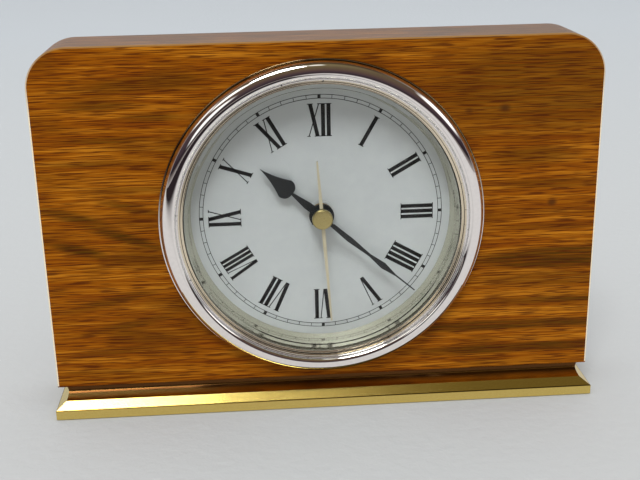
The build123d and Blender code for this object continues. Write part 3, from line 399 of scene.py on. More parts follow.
def smear(
    x: float, z: float, wide: float, high: float, strength: float, fade: float = 0.8, tilt: float = 0.0
) -> Spot:
    """Return a spot on the board by its middle and half sizes from the front: it runs through the depth."""
    return Spot((x, SMEAR_Y, z), (wide, SMEAR_DEEP, high), strength, fade, tilt)


@dataclass(frozen=True)
class TeakVeneer(Finish):
    """Straight-grained teak veneer under a thin satin varnish.

    The grain runs along X. A slow wander bends it up and down, streaks, fine lines and hairs of noise
    drawn out along it give its colour, and short thin dashes are its open pores. Heartwood darkens it
    in soft clouds and smudges, stripes of it cross the lower right, and small knots lie on the right.
    Its rounded front edges are pale, partly from wear and partly a painted highlight, and its top is greyed by a
    painted sheen.
    """

    name: str = "teak_veneer_satin_varnish"
    tones: Stops = ((0.4, "#7C3C00"), (0.5, "#925000"), (0.6, "#BA7416"))
    pore: str = "#451400"
    heartwood: str = "#4C2E00"
    # Painted sheen colour for the top
    painted_sheen_grey: str = "#66625A"
    wander: float = 2.5
    slow: Noise = Noise((100.0, 100.0, 100.0), 2.0)
    streak: Noise = Noise((60.0, 3.0, 2.0))
    line: Noise = Noise((22.0, 1.0, 0.6))
    hair: Noise = Noise((20.0, 0.5, 0.3), 2.0)
    dash: Noise = Noise((10.0, 0.5, 0.34), 1.0)
    cloud: Noise = Noise((30.0, 14.0, 9.0))
    pore_fade: Fade = Fade(0.5, 0.61, high=0.76)
    cloud_fade: Fade = Fade(0.5, 0.72, high=0.6)
    feather: Fade = Fade(0.3, 0.58, low=0.35)
    smudges: tuple[Spot, ...] = (
        smear(-66.0, 98.5, 18.0, 2.6, 0.8),
        smear(-50.0, 94.5, 14.0, 2.2, 0.8),
        smear(-62.0, 88.0, 22.0, 1.6, 0.75),
        smear(-66.0, 81.0, 26.0, 1.8, 0.6),
        smear(-58.0, 72.5, 22.0, 2.0, 0.6),
        smear(-75.0, 64.5, 20.0, 2.8, 0.9, tilt=16.0),
        smear(-60.0, 57.5, 22.0, 2.8, 1.0, tilt=20.0),
        smear(-58.0, 67.0, 16.0, 2.4, 0.8, tilt=16.0),
        smear(-74.0, 54.0, 16.0, 2.8, 1.0, tilt=16.0),
        smear(-66.0, 37.0, 24.0, 2.6, 0.7, tilt=-12.0),
        smear(-60.0, 29.0, 26.0, 2.4, 0.7, tilt=-10.0),
        smear(-66.0, 20.0, 26.0, 2.2, 0.6, tilt=-5.0),
        smear(-70.0, 13.0, 22.0, 1.6, 0.5),
        smear(78.0, 45.5, 40.0, 4.8, 1.0, 0.5),
        smear(76.0, 38.5, 40.0, 3.4, 0.55, 0.6),
        smear(66.0, 100.0, 56.0, 22.0, 0.72, 0.7),
        smear(64.0, 79.0, 22.0, 5.0, 0.7),
        smear(70.0, 70.0, 28.0, 2.6, 0.6),
        smear(72.0, 56.0, 26.0, 1.6, 0.5),
        smear(10.0, 112.0, 40.0, 2.2, 0.4),
    )
    knots: tuple[Spot, ...] = (
        smear(55.4, 93.9, 2.8, 1.9, 0.85, 0.9),
        smear(44.5, 93.4, 1.9, 1.3, 0.6, 0.9),
        smear(71.3, 63.8, 2.2, 1.7, 0.8),
    )
    knot_colour: str = "#46260A"
    stripe_height: float = 8.3
    stripe_start: float = -0.25
    stripe_wobble: float = 2.0
    stripe_tone: float = 0.03
    stripe_fade: Fade = Fade(0.0, -0.8, high=0.9)
    stripe_area: Spot = smear(86.0, 20.0, 78.0, 17.0, 1.0, 0.45)
    # Pale rounded front edges: partly wear, partly painted highlight
    edge_front: float = -10.996
    edge_rear: float = -10.5
    edge_foot: float = 8.75
    side_edge: float = 85.0
    edge_cream: str = "#F2E2C2"
    edge_amber: str = "#8F6A3C"
    amber_fade: Fade = Fade(96.0, 114.0)
    # Painted sheen that greys the top
    painted_sheen_fade: Fade = Fade(0.4, 0.95, high=0.6)
    roughness: float = 0.42
    shine: float = 0.05
    bloom: float = 0.05
    relief: float = 0.03

    def grain(self, graph: Graph, bent: Node, sized: Node) -> tuple[Node, ...]:
        """Draw the grain.

        Args:
            graph: node tree of the material.
            bent: node that gives the place with the wander added, in millimetres.
            sized: node that gives the place itself.

        Returns:
            Nodes for the grain from 0 to 1, its dark stripes, its lines, its hairs, its pores and its clouds.
        """
        drawn = (noise.over(graph, bent) for noise in (self.streak, self.line, self.hair, self.cloud))
        streaks, lines, hairs, clouds = drawn
        pores = self.pore_fade.of(graph, self.dash.over(graph, sized))
        # The mean of streaks, lines and hairs is the grain
        grain = graph.math("ADD", graph.math("ADD", streaks, lines), hairs)
        grain = graph.math("MULTIPLY", grain, 1 / 3)
        # Stripes are sine bands up the board, roughened by the streaks
        *_, height = graph.axes(sized)
        start = self.stripe_start - self.stripe_wobble / 2
        turn = graph.math("MULTIPLY_ADD", height, 2 * pi / self.stripe_height, start)
        turn = graph.math("MULTIPLY_ADD", streaks, self.stripe_wobble, turn)
        stripes = graph.math("MULTIPLY", graph.math("SINE", turn), self.stripe_area.near(graph, sized))
        grain = graph.math("MULTIPLY_ADD", stripes, self.stripe_tone, grain)
        return grain, self.stripe_fade.of(graph, stripes), lines, hairs, pores, clouds

    def worn_and_highlit_edges(self, graph: Graph, sized: Node, colour: NodeSocket) -> NodeSocket:
        """Return the colour with the rounded front edges pale, partly wear and partly painted highlight: cream at the
        sides, amber along the top.
        """
        x, y, z = graph.axes(sized)
        side = graph.math("GREATER_THAN", graph.math("ABSOLUTE", x), self.side_edge)
        edge = graph.math("MAXIMUM", side, graph.math("GREATER_THAN", y, self.edge_front))
        edge = graph.math("MULTIPLY", edge, graph.math("LESS_THAN", y, self.edge_rear))
        # The bottom edge, in shade, gets no painted highlight
        edge = graph.math("MULTIPLY", edge, graph.math("GREATER_THAN", z, self.edge_foot))
        tone = graph.mix(self.amber_fade.of(graph, z), self.edge_cream, self.edge_amber)
        return graph.mix(edge, colour, tone)

    def shader(self, graph: Graph) -> Node:
        """Return the shader, built up in the material's node tree."""
        sized = graph.millimetres()
        # The wander lifts and lowers the grain as it runs along
        centred = graph.math("SUBTRACT", self.slow.over(graph, sized), 0.5)
        lift = graph.add("ShaderNodeCombineXYZ", {"Z": graph.math("MULTIPLY", centred, 2 * self.wander)})
        grain, dark, lines, hairs, pores, clouds = self.grain(graph, graph.vector("ADD", sized, lift), sized)
        colour = graph.ramp(grain, self.tones)
        smudged = dark
        for spot in self.smudges:
            smudged = graph.math("MAXIMUM", smudged, spot.near(graph, sized))
        # The lines of the grain feather the edges of the smudges
        smudged = graph.math("MULTIPLY", smudged, self.feather.of(graph, lines))
        shade = graph.math("MAXIMUM", self.cloud_fade.of(graph, clouds), smudged)
        colour = graph.mix(shade, colour, self.heartwood)
        for knot in self.knots:
            colour = graph.mix(knot.near(graph, sized), colour, self.knot_colour)
        colour = graph.mix(pores, colour, self.pore)
        # Painted sheen: the top is greyed as if it mirrored the pale backdrop at a grazing angle
        *_, upward = graph.axes(graph.add("ShaderNodeTexCoord").outputs["Normal"])
        colour = graph.mix(self.painted_sheen_fade.of(graph, upward), colour, self.painted_sheen_grey)
        return graph.add(
            "ShaderNodeBsdfPrincipled",
            {
                "Base Color": self.worn_and_highlit_edges(graph, sized, colour),
                "Roughness": self.roughness,
                "Specular IOR Level": self.shine,
                "Sheen Weight": self.bloom,
                "Normal": graph.bump(graph.math("SUBTRACT", hairs, pores), self.relief),
            },
        )


@dataclass(frozen=True)
class AcrylicLens(Finish):
    """Clear moulded acrylic, polished: it mirrors the light softly, and lets lamps through to the dial.

    The lens is thin and its two faces run side by side, so its index is kept low and the dial reads straight.
    """

    name: str = "acrylic_polished_clear"
    colour: str = "#FFFFFF"
    ior: float = 1.1

    def shader(self, graph: Graph) -> Node:
        """Return the shader, built up in the material's node tree."""
        glass = graph.add(
            "ShaderNodeBsdfPrincipled",
            {"Base Color": linear(self.colour), "Roughness": 0.0, "IOR": self.ior, "Transmission Weight": 1.0},
        )
        clear = graph.add("ShaderNodeBsdfTransparent")
        shadow = graph.add("ShaderNodeLightPath").outputs["Is Shadow Ray"]
        return graph.add("ShaderNodeMixShader", {0: shadow, 1: glass, 2: clear})


@dataclass(frozen=True)
class MattPaper(Finish):
    """White paper for the floor, a little cooler far behind.

    What polished metal shows of it is a painted reflection that glows: pale, with part of the clock's own shade
    on it, and a painted dark patch without any shade past its near edge on the left.
    """

    name: str = "paper_matt_white"
    near: str = "#B5B7B7"
    far: str = "#B8BDC1"
    cooling: Fade = Fade(0.0, 900.0)
    fibre: Noise = Noise((3.846, 3.846, 3.846))
    relief: float = 0.3
    roughness: float = 0.9
    shine: float = 0.1
    painted_reflection_pale: str = "#F0E8E2"
    painted_reflection_dark: str = "#2E2628"
    edge: Fade = Fade(-140.0, -340.0, eased=True)
    side: Fade = Fade(80.0, 20.0)
    unshaded: Fade = Fade(0.0, 1.0, low=0.6)

    def shader(self, graph: Graph) -> Node:
        """Return the shader, built up in the material's node tree."""
        place = graph.millimetres()
        x, y, _ = graph.axes(place)
        paper = graph.add(
            "ShaderNodeBsdfPrincipled",
            {
                "Base Color": graph.mix(self.cooling.of(graph, y), self.near, self.far),
                "Roughness": self.roughness,
                "Specular IOR Level": self.shine,
                "Normal": graph.bump(self.fibre.over(graph, place), self.relief),
            },
        )
        # Painted reflection: glossy rays see a glowing pale colour, with a painted dark patch in front on the left
        dim = graph.math("MULTIPLY", self.edge.of(graph, y), self.side.of(graph, x))
        shown = graph.mix(dim, self.painted_reflection_pale, self.painted_reflection_dark)
        glow = graph.add("ShaderNodeEmission", {"Color": shown, "Strength": 1.0})
        glossy = graph.add("ShaderNodeLightPath").outputs["Is Glossy Ray"]
        share = graph.math("MULTIPLY", glossy, self.unshaded.of(graph, dim))
        return graph.add("ShaderNodeMixShader", {0: share, 1: paper, 2: glow})


# Rolled brass, bright and lacquered: warm yellow, broken up by the orange peel of its lacquer
BASE_BRASS = BevelledBrass("brass_lacquered_bright", "#D6C478", "#BEA656", 1.0, 0.12, 0.06, 0.32, 0.02)
# Drawn steel, chromium plated: a near-white mirror with fine pits in its groove
CHROME = PittedChrome("steel_chromium_plated", "#EEEDED", "#E2E1E2", 1.0, 0.03, 0.02, 1.2, 0.0015)
# Turned aluminium, bright dipped: a champagne mirror that doubles the edge of the dial
REFLECTOR = Surface("aluminium_turned_bright", "#D2D0BE", "#C6C3B0", 0.88, 0.12, 0.04, 0.8, 0.003)
# Aluminium dial, silver lacquer over a fine tooth: a cool satin grey
DIAL_SILVER = Surface("aluminium_silver_lacquered", "#BBC3C2", "#B3BBBC", 0.2, 0.45, 0.05, 3.0, 0.003)
# Printing ink, screened: dense black with hardly any sheen
INK = Surface("printing_ink_black", "#06080A", "#0B0D0F", 0.0, 0.6, 0.05, 0.3, 0.004)
# Stamped aluminium, black lacquer: satin slate black, greyer where light grazes it
HAND_BLACK = Surface("aluminium_black_lacquered", "#0E1315", "#151A1C", 0.0, 0.45, 0.06, 0.4, 0.004)
# Stamped aluminium, pale gilt lacquer: cream, close to the dial in tone
HAND_GILT = Surface("aluminium_gilt_lacquered", "#BBB69D", "#ADA78C", 0.2, 0.4, 0.06, 0.4, 0.004)
# Brass cap, spun and gilt: soft olive yellow with a hazy shine
CAP_GOLD = Surface("brass_spun_gilt", "#B9AD7C", "#A39762", 1.0, 0.3, 0.08, 0.3, 0.006)
# Pressed wool felt: dull green-black, with fibres that stand off it
FELT = Surface("wool_felt_pressed", "#20251F", "#2E342C", 0.0, 0.95, 0.03, 0.35, 0.15)
# Steel, zinc plated: bright screw heads with cloudy patches
SCREW_STEEL = Surface("steel_zinc_plated", "#B9BBBC", "#9C9EA0", 1.0, 0.3, 0.08, 0.4, 0.004)
# Black moulded polystyrene: the cup's even, slightly waxy sheen
BLACK_MOULDING = Surface("polystyrene_black_moulded", "#1A1A1C", "#222225", 0.0, 0.45, 0.06, 0.5, 0.01)
# Black rubber, moulded: dull, with a dusty bloom on its fins
RUBBER = Surface("rubber_black_moulded", "#1C1C1C", "#2B2B2A", 0.0, 0.75, 0.06, 0.4, 0.02)
# Black ABS from a spark-eroded tool: an even pebbled texture that greys it
HOUSING = Surface("abs_black_textured", "#1E1F21", "#2A2B2E", 0.0, 0.55, 0.08, 0.22, 0.03)
# Ivory ABS, moulded: the setting knob's warm soft white
KNOB = Surface("abs_ivory_moulded", "#D6D2C4", "#CBC6B5", 0.0, 0.45, 0.06, 0.4, 0.01)
# Turned brass: dull yellow with tool marks round it
TURNED_BRASS = Surface("brass_turned", "#CDA95C", "#B28E45", 1.0, 0.3, 0.08, 0.3, 0.006)
# Natural acetal, moulded: milky gears with a waxy shine
GEAR_PLASTIC = Surface("acetal_natural_moulded", "#E4E1D4", "#D8D4C4", 0.0, 0.4, 0.05, 0.4, 0.006)
# Ground steel: arbors that gleam along their length
ARBOR_STEEL = Surface("steel_ground", "#C0C2C4", "#A8AAAC", 1.0, 0.22, 0.06, 0.2, 0.004)
# Spring strip, cold rolled and nickel plated: a warm soft grey gleam
SPRING_STEEL = Surface("spring_steel_nickel_plated", "#C6C3B8", "#ADAA9F", 1.0, 0.28, 0.07, 0.3, 0.004)
# Ferrite magnet, ground: charcoal with a faint sparkle
MAGNET = Surface("ferrite_ground", "#45464A", "#35363A", 0.3, 0.5, 0.08, 0.3, 0.01)
# Soft iron, pressed: matt grey stampings
CORE_IRON = Surface("soft_iron_pressed", "#9B9A97", "#848380", 1.0, 0.42, 0.08, 0.4, 0.006)
# Natural nylon, moulded: the bobbin's cloudy cream
BOBBIN = Surface("nylon_natural_moulded", "#D5D2C2", "#C8C4B2", 0.0, 0.45, 0.05, 0.4, 0.006)
# Enamelled copper wire, wound: copper brown, with a fine line along each turn, in relief and as a painted highlight
# in the colour
WIRE = Surface("copper_wire_enamelled", "#A9572B", "#7E3B1A", 0.6, 0.35, 0.1, 0.12, 0.04, (1.0, 12.0, 12.0))
# Glass-epoxy laminate under green solder resist: a wet-looking dark green
BOARD = Surface("epoxy_laminate_green_lacquered", "#1E5A34", "#174A2A", 0.0, 0.35, 0.06, 0.6, 0.01)
# Filled epoxy resin, moulded: the chip's flat soot black
CHIP = Surface("epoxy_resin_black_moulded", "#161617", "#1F1F20", 0.0, 0.55, 0.06, 0.25, 0.01)
# Drawn steel, tin plated: the quartz can's soft silver
CAN = Surface("steel_drawn_tin_plated", "#C9CACA", "#B2B3B3", 1.0, 0.25, 0.06, 0.3, 0.003)
# Printed film over a steel cell: dark and glossy, copper-coloured at the plus end
SLEEVE = CellSleeve("steel_cell_printed_sleeve", "#26292E", "#2E3238", 0.3, 0.3, 0.05, 0.8, 0.004)
# Matt paper, white: a floor that keeps a soft shade
PAPER = MattPaper()


@cache
def made(finish: Finish) -> Material:
    """Return a finish's material, made the first time that it is asked for."""
    return finish.build()


def dress(obj: Object, material: Material) -> None:
    """Give an object one material in place of those it came with."""
    obj.data.materials.clear()
    obj.data.materials.append(material)


def placed(name: str, data: bpy.types.ID) -> Object:
    """Return a new object with its data, linked to the scene."""
    obj = bpy.data.objects.new(name, data)
    bpy.context.scene.collection.objects.link(obj)
    return obj


def new_piece(name: str, points: np.ndarray, faces: np.ndarray, smooth: bool = True) -> Object:
    """Make a mesh object from whole arrays, with closed poles and outward faces.

    Args:
        name: name of the piece.
        points: array of n places in millimetres.
        faces: array of quads, each four indices into the points.
        smooth: whether its curved stretches are shaded smooth.

    Returns:
        The new object, linked to the scene, at the origin.
    """
    mesh = bpy.data.meshes.new(name)
    mesh.vertices.add(len(points))
    mesh.vertices.foreach_set("co", (np.asarray(points, np.float32) * MM).ravel())
    mesh.loops.add(faces.size)
    mesh.loops.foreach_set("vertex_index", np.asarray(faces, np.int32).ravel())
    mesh.polygons.add(len(faces))
    mesh.polygons.foreach_set("loop_start", np.arange(0, faces.size, faces.shape[1], dtype=np.int32))
    mesh.update(calc_edges=True)
    body = bmesh.new()
    body.from_mesh(mesh)
    bmesh.ops.remove_doubles(body, verts=body.verts, dist=MERGE_REACH)
    bmesh.ops.recalc_face_normals(body, faces=body.faces)
    body.to_mesh(mesh)
    body.free()
    if smooth:
        mesh.shade_smooth()
        mesh.set_sharp_from_angle(angle=SHARP_TURN)
    return placed(name, mesh)


def arc_through(start: np.ndarray, middle: np.ndarray, end: np.ndarray, steps: int) -> np.ndarray:
    """Return points along the circle through three points.

    The centre c lies as far from all three: 2 (b - a) . c = b . b - a . a for both pairs.

    Args:
        start: first point.
        middle: a point that the arc passes.
        end: last point.
        steps: number of points.

    Returns:
        Array of points from the start to the end.
    """
    pairs = 2 * np.array((middle - start, end - start))
    centre = np.linalg.solve(pairs, [middle @ middle - start @ start, end @ end - start @ start])
    rays = np.array((start, middle, end)) - centre
    angles = np.unwrap(np.arctan2(rays[:, 1], rays[:, 0]))
    turn = np.linspace(angles[0], angles[2], steps)
    return centre + np.hypot(*rays[0]) * np.stack((np.cos(turn), np.sin(turn)), axis=-1)


def arc_from_level(level: np.ndarray, end: np.ndarray, steps: int) -> np.ndarray:
    """Return points along the circle that leaves a point level with the dial and reaches another.

    Its radius is (dr^2 + dy^2) / (2 dy), straight behind the level point.

    Args:
        level: point (radius, y) where the arc runs along the radius.
        end: last point, further back.
        steps: number of points.

    Returns:
        Array of points from the level point to the end.
    """
    across, back = end - level
    size = (across ** 2 + back ** 2) / (2 * back)
    turn = np.linspace(0.0, np.arctan2(across, size - back), steps)
    return level + size * np.stack((np.sin(turn), 1 - np.cos(turn)), axis=-1)


@dataclass(frozen=True)
class DialPlace:
    """Where the dial lies, in millimetres: the height of its axis, its printed face and the case's front."""

    height: float
    face: float
    case_front: float

    @classmethod
    def from_frame(cls) -> "DialPlace":
        """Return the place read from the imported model."""
        low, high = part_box("dial_plate")
        case_low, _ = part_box("wood_case")
        return cls((low.z + high.z) / 2 / MM, low.y / MM, case_low.y / MM)

    def turned(self, profile: np.ndarray, steps: int) -> tuple[np.ndarray, np.ndarray]:
        """Carry a closed profile round the dial's axis.

        A point at turn t and profile point (r, y) lies at x = r sin t, z = axis height + r cos t.

        Args:
            profile: array of (radius, y) in millimetres, closed from its last point to its first.
            steps: turns round the axis.

        Returns:
            Points and quads.
        """
        turn = np.linspace(0, 2 * pi, steps, endpoint=False)[:, None]
        radius, y = profile.T
        points = np.stack((radius * np.sin(turn), y + 0 * turn, self.height + radius * np.cos(turn)), axis=-1)
        # Each quad joins a point, the next along the profile, and the same two a step of the turn on
        here = np.arange(steps * len(profile)).reshape(steps, -1)
        along = np.roll(here, -1, axis=1)
        faces = np.stack((here, along, np.roll(along, -1, axis=0), np.roll(here, -1, axis=0)), axis=-1)
        return points.reshape(-1, 3), faces.reshape(-1, 4)

    def on_dial(self, outlines: np.ndarray, turns: np.ndarray) -> np.ndarray:
        """Turn outlines from upright at twelve to their places round the dial.

        Across u and outwards v at turn t go to x = u cos t + v sin t, z = axis height - u sin t + v cos t.

        Args:
            outlines: array of n outlines of (u, v) corners.
            turns: turn of each outline, clockwise from twelve, in radians.

        Returns:
            The outlines as (x, z) corners.
        """
        across, outwards = outlines[..., 0], outlines[..., 1]
        turn = turns[:, None]
        x = across * np.cos(turn) + outwards * np.sin(turn)
        z = self.height - across * np.sin(turn) + outwards * np.cos(turn)
        return np.stack((x, z), axis=-1)


def prisms(outlines: np.ndarray, front: float, rear: float) -> tuple[np.ndarray, np.ndarray]:
    """Stand four-sided outlines out of a plane that faces -Y.

    Args:
        outlines: array of n outlines, each four (x, z) corners in millimetres.
        front: y of the front faces.
        rear: y of the rear faces.

    Returns:
        Points and quads of n prisms.
    """
    x, z = np.moveaxis(np.tile(outlines, (1, 2, 1)), -1, 0)
    y = np.broadcast_to(np.repeat((front, rear), 4), x.shape)
    sides = np.array([(0, 1, 2, 3), (7, 6, 5, 4), (0, 4, 5, 1), (1, 5, 6, 2), (2, 6, 7, 3), (3, 7, 4, 0)])
    faces = np.arange(0, x.size, x.shape[1])[:, None, None] + sides
    return np.stack((x, y, z), axis=-1).reshape(-1, 3), faces.reshape(-1, 4)


class SubAssembly:
    """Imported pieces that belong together, with the finish of each."""

    finishes: ClassVar[Mapping[Finish, tuple[str, ...]]] = {}

    def dress_nodes(self, nodes: Mapping[str, Object]) -> None:
        """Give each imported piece, which the nodes hold by its name, its finish."""
        for finish, names in self.finishes.items():
            for name in names:
                dress(nodes[name], made(finish))
            log.info("%s: %s", finish.name, ", ".join(names))

    def build(self) -> list[Object]:
        """Return the new pieces: there are none unless a sub-assembly makes them."""
        return []


class WoodCase(SubAssembly):
    """The board that the clock is let into."""

    finishes = {TeakVeneer(): ("wood_case",)}


class MetalBase(SubAssembly):
    """The bevelled brass plate with its felt and its screws."""

    finishes = {BASE_BRASS: ("brass_base",), FELT: ("felt_pad",), SCREW_STEEL: ("base_screws",)}


@dataclass
class DialWindow(SubAssembly):
    """Bezel, lens, reflector, dial, cup and band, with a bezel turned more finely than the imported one.

    The bezel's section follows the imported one's, with a finer bead and with fine turned lines on its
    inner slope. Its points are shares of the width from the opening and of the height over the case.
    """

    place: DialPlace
    opening: float = 42.594
    rim: float = 49.998
    rim_inside: float = 47.798
    proud: float = 4.7
    back: float = 1.3
    lip: float = 0.6
    wall: float = 0.75
    rim_foot: Pair = (1.0, 0.08)
    bead: Pair = (0.967, 0.17)
    bead_foot: Pair = (0.93, 0.13)
    crest: Pair = (0.446, 1.0)
    groove: Pair = (0.27, 0.745)
    step: Pair = (0.236, 0.77)
    step_foot: Pair = (0.2, 0.7)
    slope: Pair = (0.088, 0.5)
    hollow_inner: Pair = (0.31, 0.5)
    hollow_outer: Pair = (0.65, 0.5)
    turned_lines: int = 4
    line_depth: float = 0.22
    bead_points: int = 20
    crest_points: int = 40
    groove_points: int = 20
    step_points: int = 8
    slope_points: int = 50
    hollow_points: int = 10
    steps: int = 480

    finishes = {
        CHROME: ("bezel_ring",),
        AcrylicLens(): ("crystal",),
        REFLECTOR: ("reflector_ring",),
        DIAL_SILVER: ("dial_plate", "dial_collar"),
        BLACK_MOULDING: ("dial_cup",),
        RUBBER: ("friction_band",),
    }

    def at(self, shares: Pair) -> np.ndarray:
        """Return the point (radius, y) that lies at shares of the bezel's width and height."""
        radius = self.opening + shares[0] * (self.rim - self.opening)
        return np.array((radius, self.place.case_front - shares[1] * self.proud))

    def section(self) -> np.ndarray:
        """Return the bezel's closed section, from the foot of its rim inwards over its crest and back behind.

        The turned lines are sine waves along the slope, set off across it.
        """
        front = self.place.case_front
        crest, groove = self.at(self.crest), self.at(self.groove)
        bead_foot, step_foot = self.at(self.bead_foot), self.at(self.step_foot)
        lip = np.array((self.opening, front - self.back - self.lip))
        slope = arc_through(step_foot, self.at(self.slope), lip, self.slope_points)
        share = np.linspace(0.0, 1.0, len(slope))[:, None]
        along = (lip - step_foot) / np.hypot(*(lip - step_foot))
        off = np.array((along[1], -along[0]))
        slope = slope - self.line_depth * np.sin(self.turned_lines * pi * share) ** 2 * off
        inner, outer = self.at(self.hollow_inner), self.at(self.hollow_outer)
        back = front - self.back
        return np.concatenate(
            (
                [(self.rim, front)],
                arc_through(self.at(self.rim_foot), self.at(self.bead), bead_foot, self.bead_points),
                arc_from_level(crest, bead_foot, self.crest_points)[-2::-1],
                arc_from_level(crest, groove, self.groove_points)[1:],
                arc_through(groove, self.at(self.step), step_foot, self.step_points)[1:],
                slope[1:],
                [(self.opening, back), (inner[0], back)],
                arc_through(inner, crest + (0.0, self.wall), outer, self.hollow_points),
                [(outer[0], back), (self.rim_inside, back), (self.rim_inside, front)],
            )
        )

    def build(self) -> list[Object]:
        """Return the turned bezel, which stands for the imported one."""
        bezel = new_piece("bezel_turned", *self.place.turned(self.section(), self.steps))
        dress(bezel, made(CHROME))
        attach(bezel, Body.CASE.value)
        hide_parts("bezel_ring")
        return [bezel]


@dataclass
class PrintedDial(SubAssembly):
    """Roman numerals and the minute track, printed on the dial."""

    place: DialPlace
    numerals: tuple[str, ...] = ("I", "II", "III", "IIII", "V", "VI", "VII", "VIII", "IX", "X", "XI", "XII")
    ink: float = 0.03
    numeral_foot: float = 25.0
    numeral_head: float = 35.2
    thick: float = 1.2
    thin: float = 0.3
    serif: float = 0.24
    serif_reach: float = 0.34
    gap: float = 0.5
    wide_letter: float = 3.4
    longest: float = 7.1
    track_inside: float = 36.8
    track_outside: float = 37.95
    track_line: float = 0.18
    block_width: float = 0.95
    minutes: int = 60
    block_every: int = 5
    ring_steps: int = 240

    def slanted(self, foot: float, head: float, width: float) -> Outline:
        """Return a stroke from its left edge at the foot to its left edge at the head."""
        low, high = self.numeral_foot, self.numeral_head
        return [(foot, low), (foot + width, low), (head + width, high), (head, high)]

    def bar(self, left: float, right: float, at_head: bool) -> Outline:
        """Return a serif across the head or the foot of a letter."""
        low = self.numeral_head - self.serif if at_head else self.numeral_foot
        left, right, high = left - self.serif_reach, right + self.serif_reach, low + self.serif
        return [(left, low), (right, low), (right, high), (left, high)]

    def letter(self, sign: Sign, left: float) -> tuple[list[Outline], float]:
        """Draw one letter.

        Args:
            sign: the letter.
            left: where its left edge stands.

        Returns:
            Its strokes, and where its right edge stands.
        """
        thick, thin = self.thick, self.thin
        if sign is Sign.ONE:
            right = left + thick
            return [self.slanted(left, left, thick), self.bar(left, right, True), self.bar(left, right, False)], right
        right = left + self.wide_letter
        heads = [self.bar(left, left + thick, True), self.bar(right - thin, right, True)]
        if sign is Sign.FIVE:
            tip = (left + right - thick) / 2
            strokes = [self.slanted(tip, left, thick), self.slanted(tip + thick - thin, right - thin, thin)]
            return strokes + heads, right
        strokes = [self.slanted(right - thick, left, thick), self.slanted(left, right - thin, thin)]
        feet = [self.bar(right - thick, right, False), self.bar(left, left + thin, False)]
        return strokes + heads + feet, right

    def numeral_outlines(self) -> tuple[np.ndarray, np.ndarray]:
        """Return the strokes of every numeral, upright at twelve, and the turn of each."""
        outlines, turns = [], []
        for hour, numeral in enumerate(self.numerals, start=1):
            strokes: list[Outline] = []
            edge = 0.0
            for sign in map(Sign, numeral):
                drawn, right = self.letter(sign, edge)
                strokes += drawn
                edge = right + self.gap
            shape = np.array(strokes)
            width = edge - self.gap
            shape[..., 0] = (shape[..., 0] - width / 2) * min(1.0, self.longest / width)
            outlines.append(shape)
            turns.append(np.full(len(shape), radians(FULL_TURN / len(self.numerals) * hour)))
        return np.concatenate(outlines), np.concatenate(turns)

    def build(self) -> list[Object]:
        """Return the numerals and the track as two pieces."""
        front, rear = self.place.face - self.ink, self.place.face
        outlines = self.place.on_dial(*self.numeral_outlines())
        numerals = new_piece("printed_numerals", *prisms(outlines, front, rear), smooth=False)
        marks = np.arange(self.minutes)
        widths = np.where(marks % self.block_every == 0, self.block_width, self.track_line)[:, None]
        across = widths / 2 * (-1, 1, 1, -1)
        outwards = np.broadcast_to(np.repeat((self.track_inside, self.track_outside), 2), across.shape)
        turns = np.radians(FULL_TURN / self.minutes * marks)
        ticks = self.place.on_dial(np.stack((across, outwards), axis=-1), turns)
        points, faces = prisms(ticks, front, rear)
        for radius in (self.track_inside, self.track_outside):
            low, high = radius - self.track_line / 2, radius + self.track_line / 2
            profile = np.array([(low, front), (high, front), (high, rear), (low, rear)])
            ring_points, ring_faces = self.place.turned(profile, self.ring_steps)
            faces = np.concatenate((faces, ring_faces + len(points)))
            points = np.concatenate((points, ring_points))
        track = new_piece("printed_minute_track", points, faces, smooth=False)
        for piece in (numerals, track):
            dress(piece, made(INK))
            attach(piece, Body.CASE.value)
        return [numerals, track]


@dataclass
class Hands(SubAssembly):
    """The three hands, with a cap whose edge is rounded over."""

    place: DialPlace
    cap_front: float = 0.3
    cap_rear: float = 1.6
    cap_radius: float = 3.2
    cap_round: float = 0.5
    cap_crown: float = 0.06
    bore: float = 0.52
    bore_depth: float = 0.2
    arc_points: int = 10
    steps: int = 96

    finishes = {
        HAND_BLACK: ("hour_hand", "minute_hand"),
        HAND_GILT: ("second_hand",),
        CAP_GOLD: ("second_cap",),
    }

    def build(self) -> list[Object]:
        """Return the cap: a shallow crown, then a quarter round down to its side."""
        front, rear = self.place.case_front + self.cap_front, self.place.case_front + self.cap_rear
        shoulder = np.array((self.cap_radius - self.cap_round, front + self.cap_crown))
        crown = arc_from_level(np.array((0.0, front)), shoulder, self.arc_points)
        rounded = arc_from_level(shoulder, shoulder + self.cap_round, self.arc_points)[1:]
        floor = rear - self.bore_depth
        tail = [(self.cap_radius, rear), (self.bore, rear), (self.bore, floor), (0.0, floor)]
        cap = new_piece("cap_spun", *self.place.turned(np.concatenate((crown, rounded, tail)), self.steps))
        dress(cap, made(CAP_GOLD))
        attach(cap, Body.SECOND_TRAIN.value)
        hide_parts("second_cap")
        return [cap]


class Movement(SubAssembly):
    """Housing, train, step motor, electronics and setting of the battery movement."""

    finishes = {
        HOUSING: ("movement_front_plate", "movement_rear_cover"),
        SCREW_STEEL: ("movement_screws",),
        KNOB: ("setting_knob", "setting_pinion"),
        TURNED_BRASS: ("centre_bushing", "cannon_pinion"),
        GEAR_PLASTIC: ("hour_wheel", "motion_wheel", "centre_wheel", "second_wheel", "third_wheel", "step_wheel"),
        ARBOR_STEEL: ("second_arbor", "third_pinion", "step_pinion", "rotor_pinion", "motion_stud"),
        SPRING_STEEL: ("clutch_spring",),
        MAGNET: ("rotor_magnet",),
        CORE_IRON: ("stator_plate", "coil_core"),
        BOBBIN: ("coil_bobbin",),
        WIRE: ("coil_winding",),
        BOARD: ("circuit_board",),
        CHIP: ("drive_chip",),
        CAN: ("quartz_can",),
    }


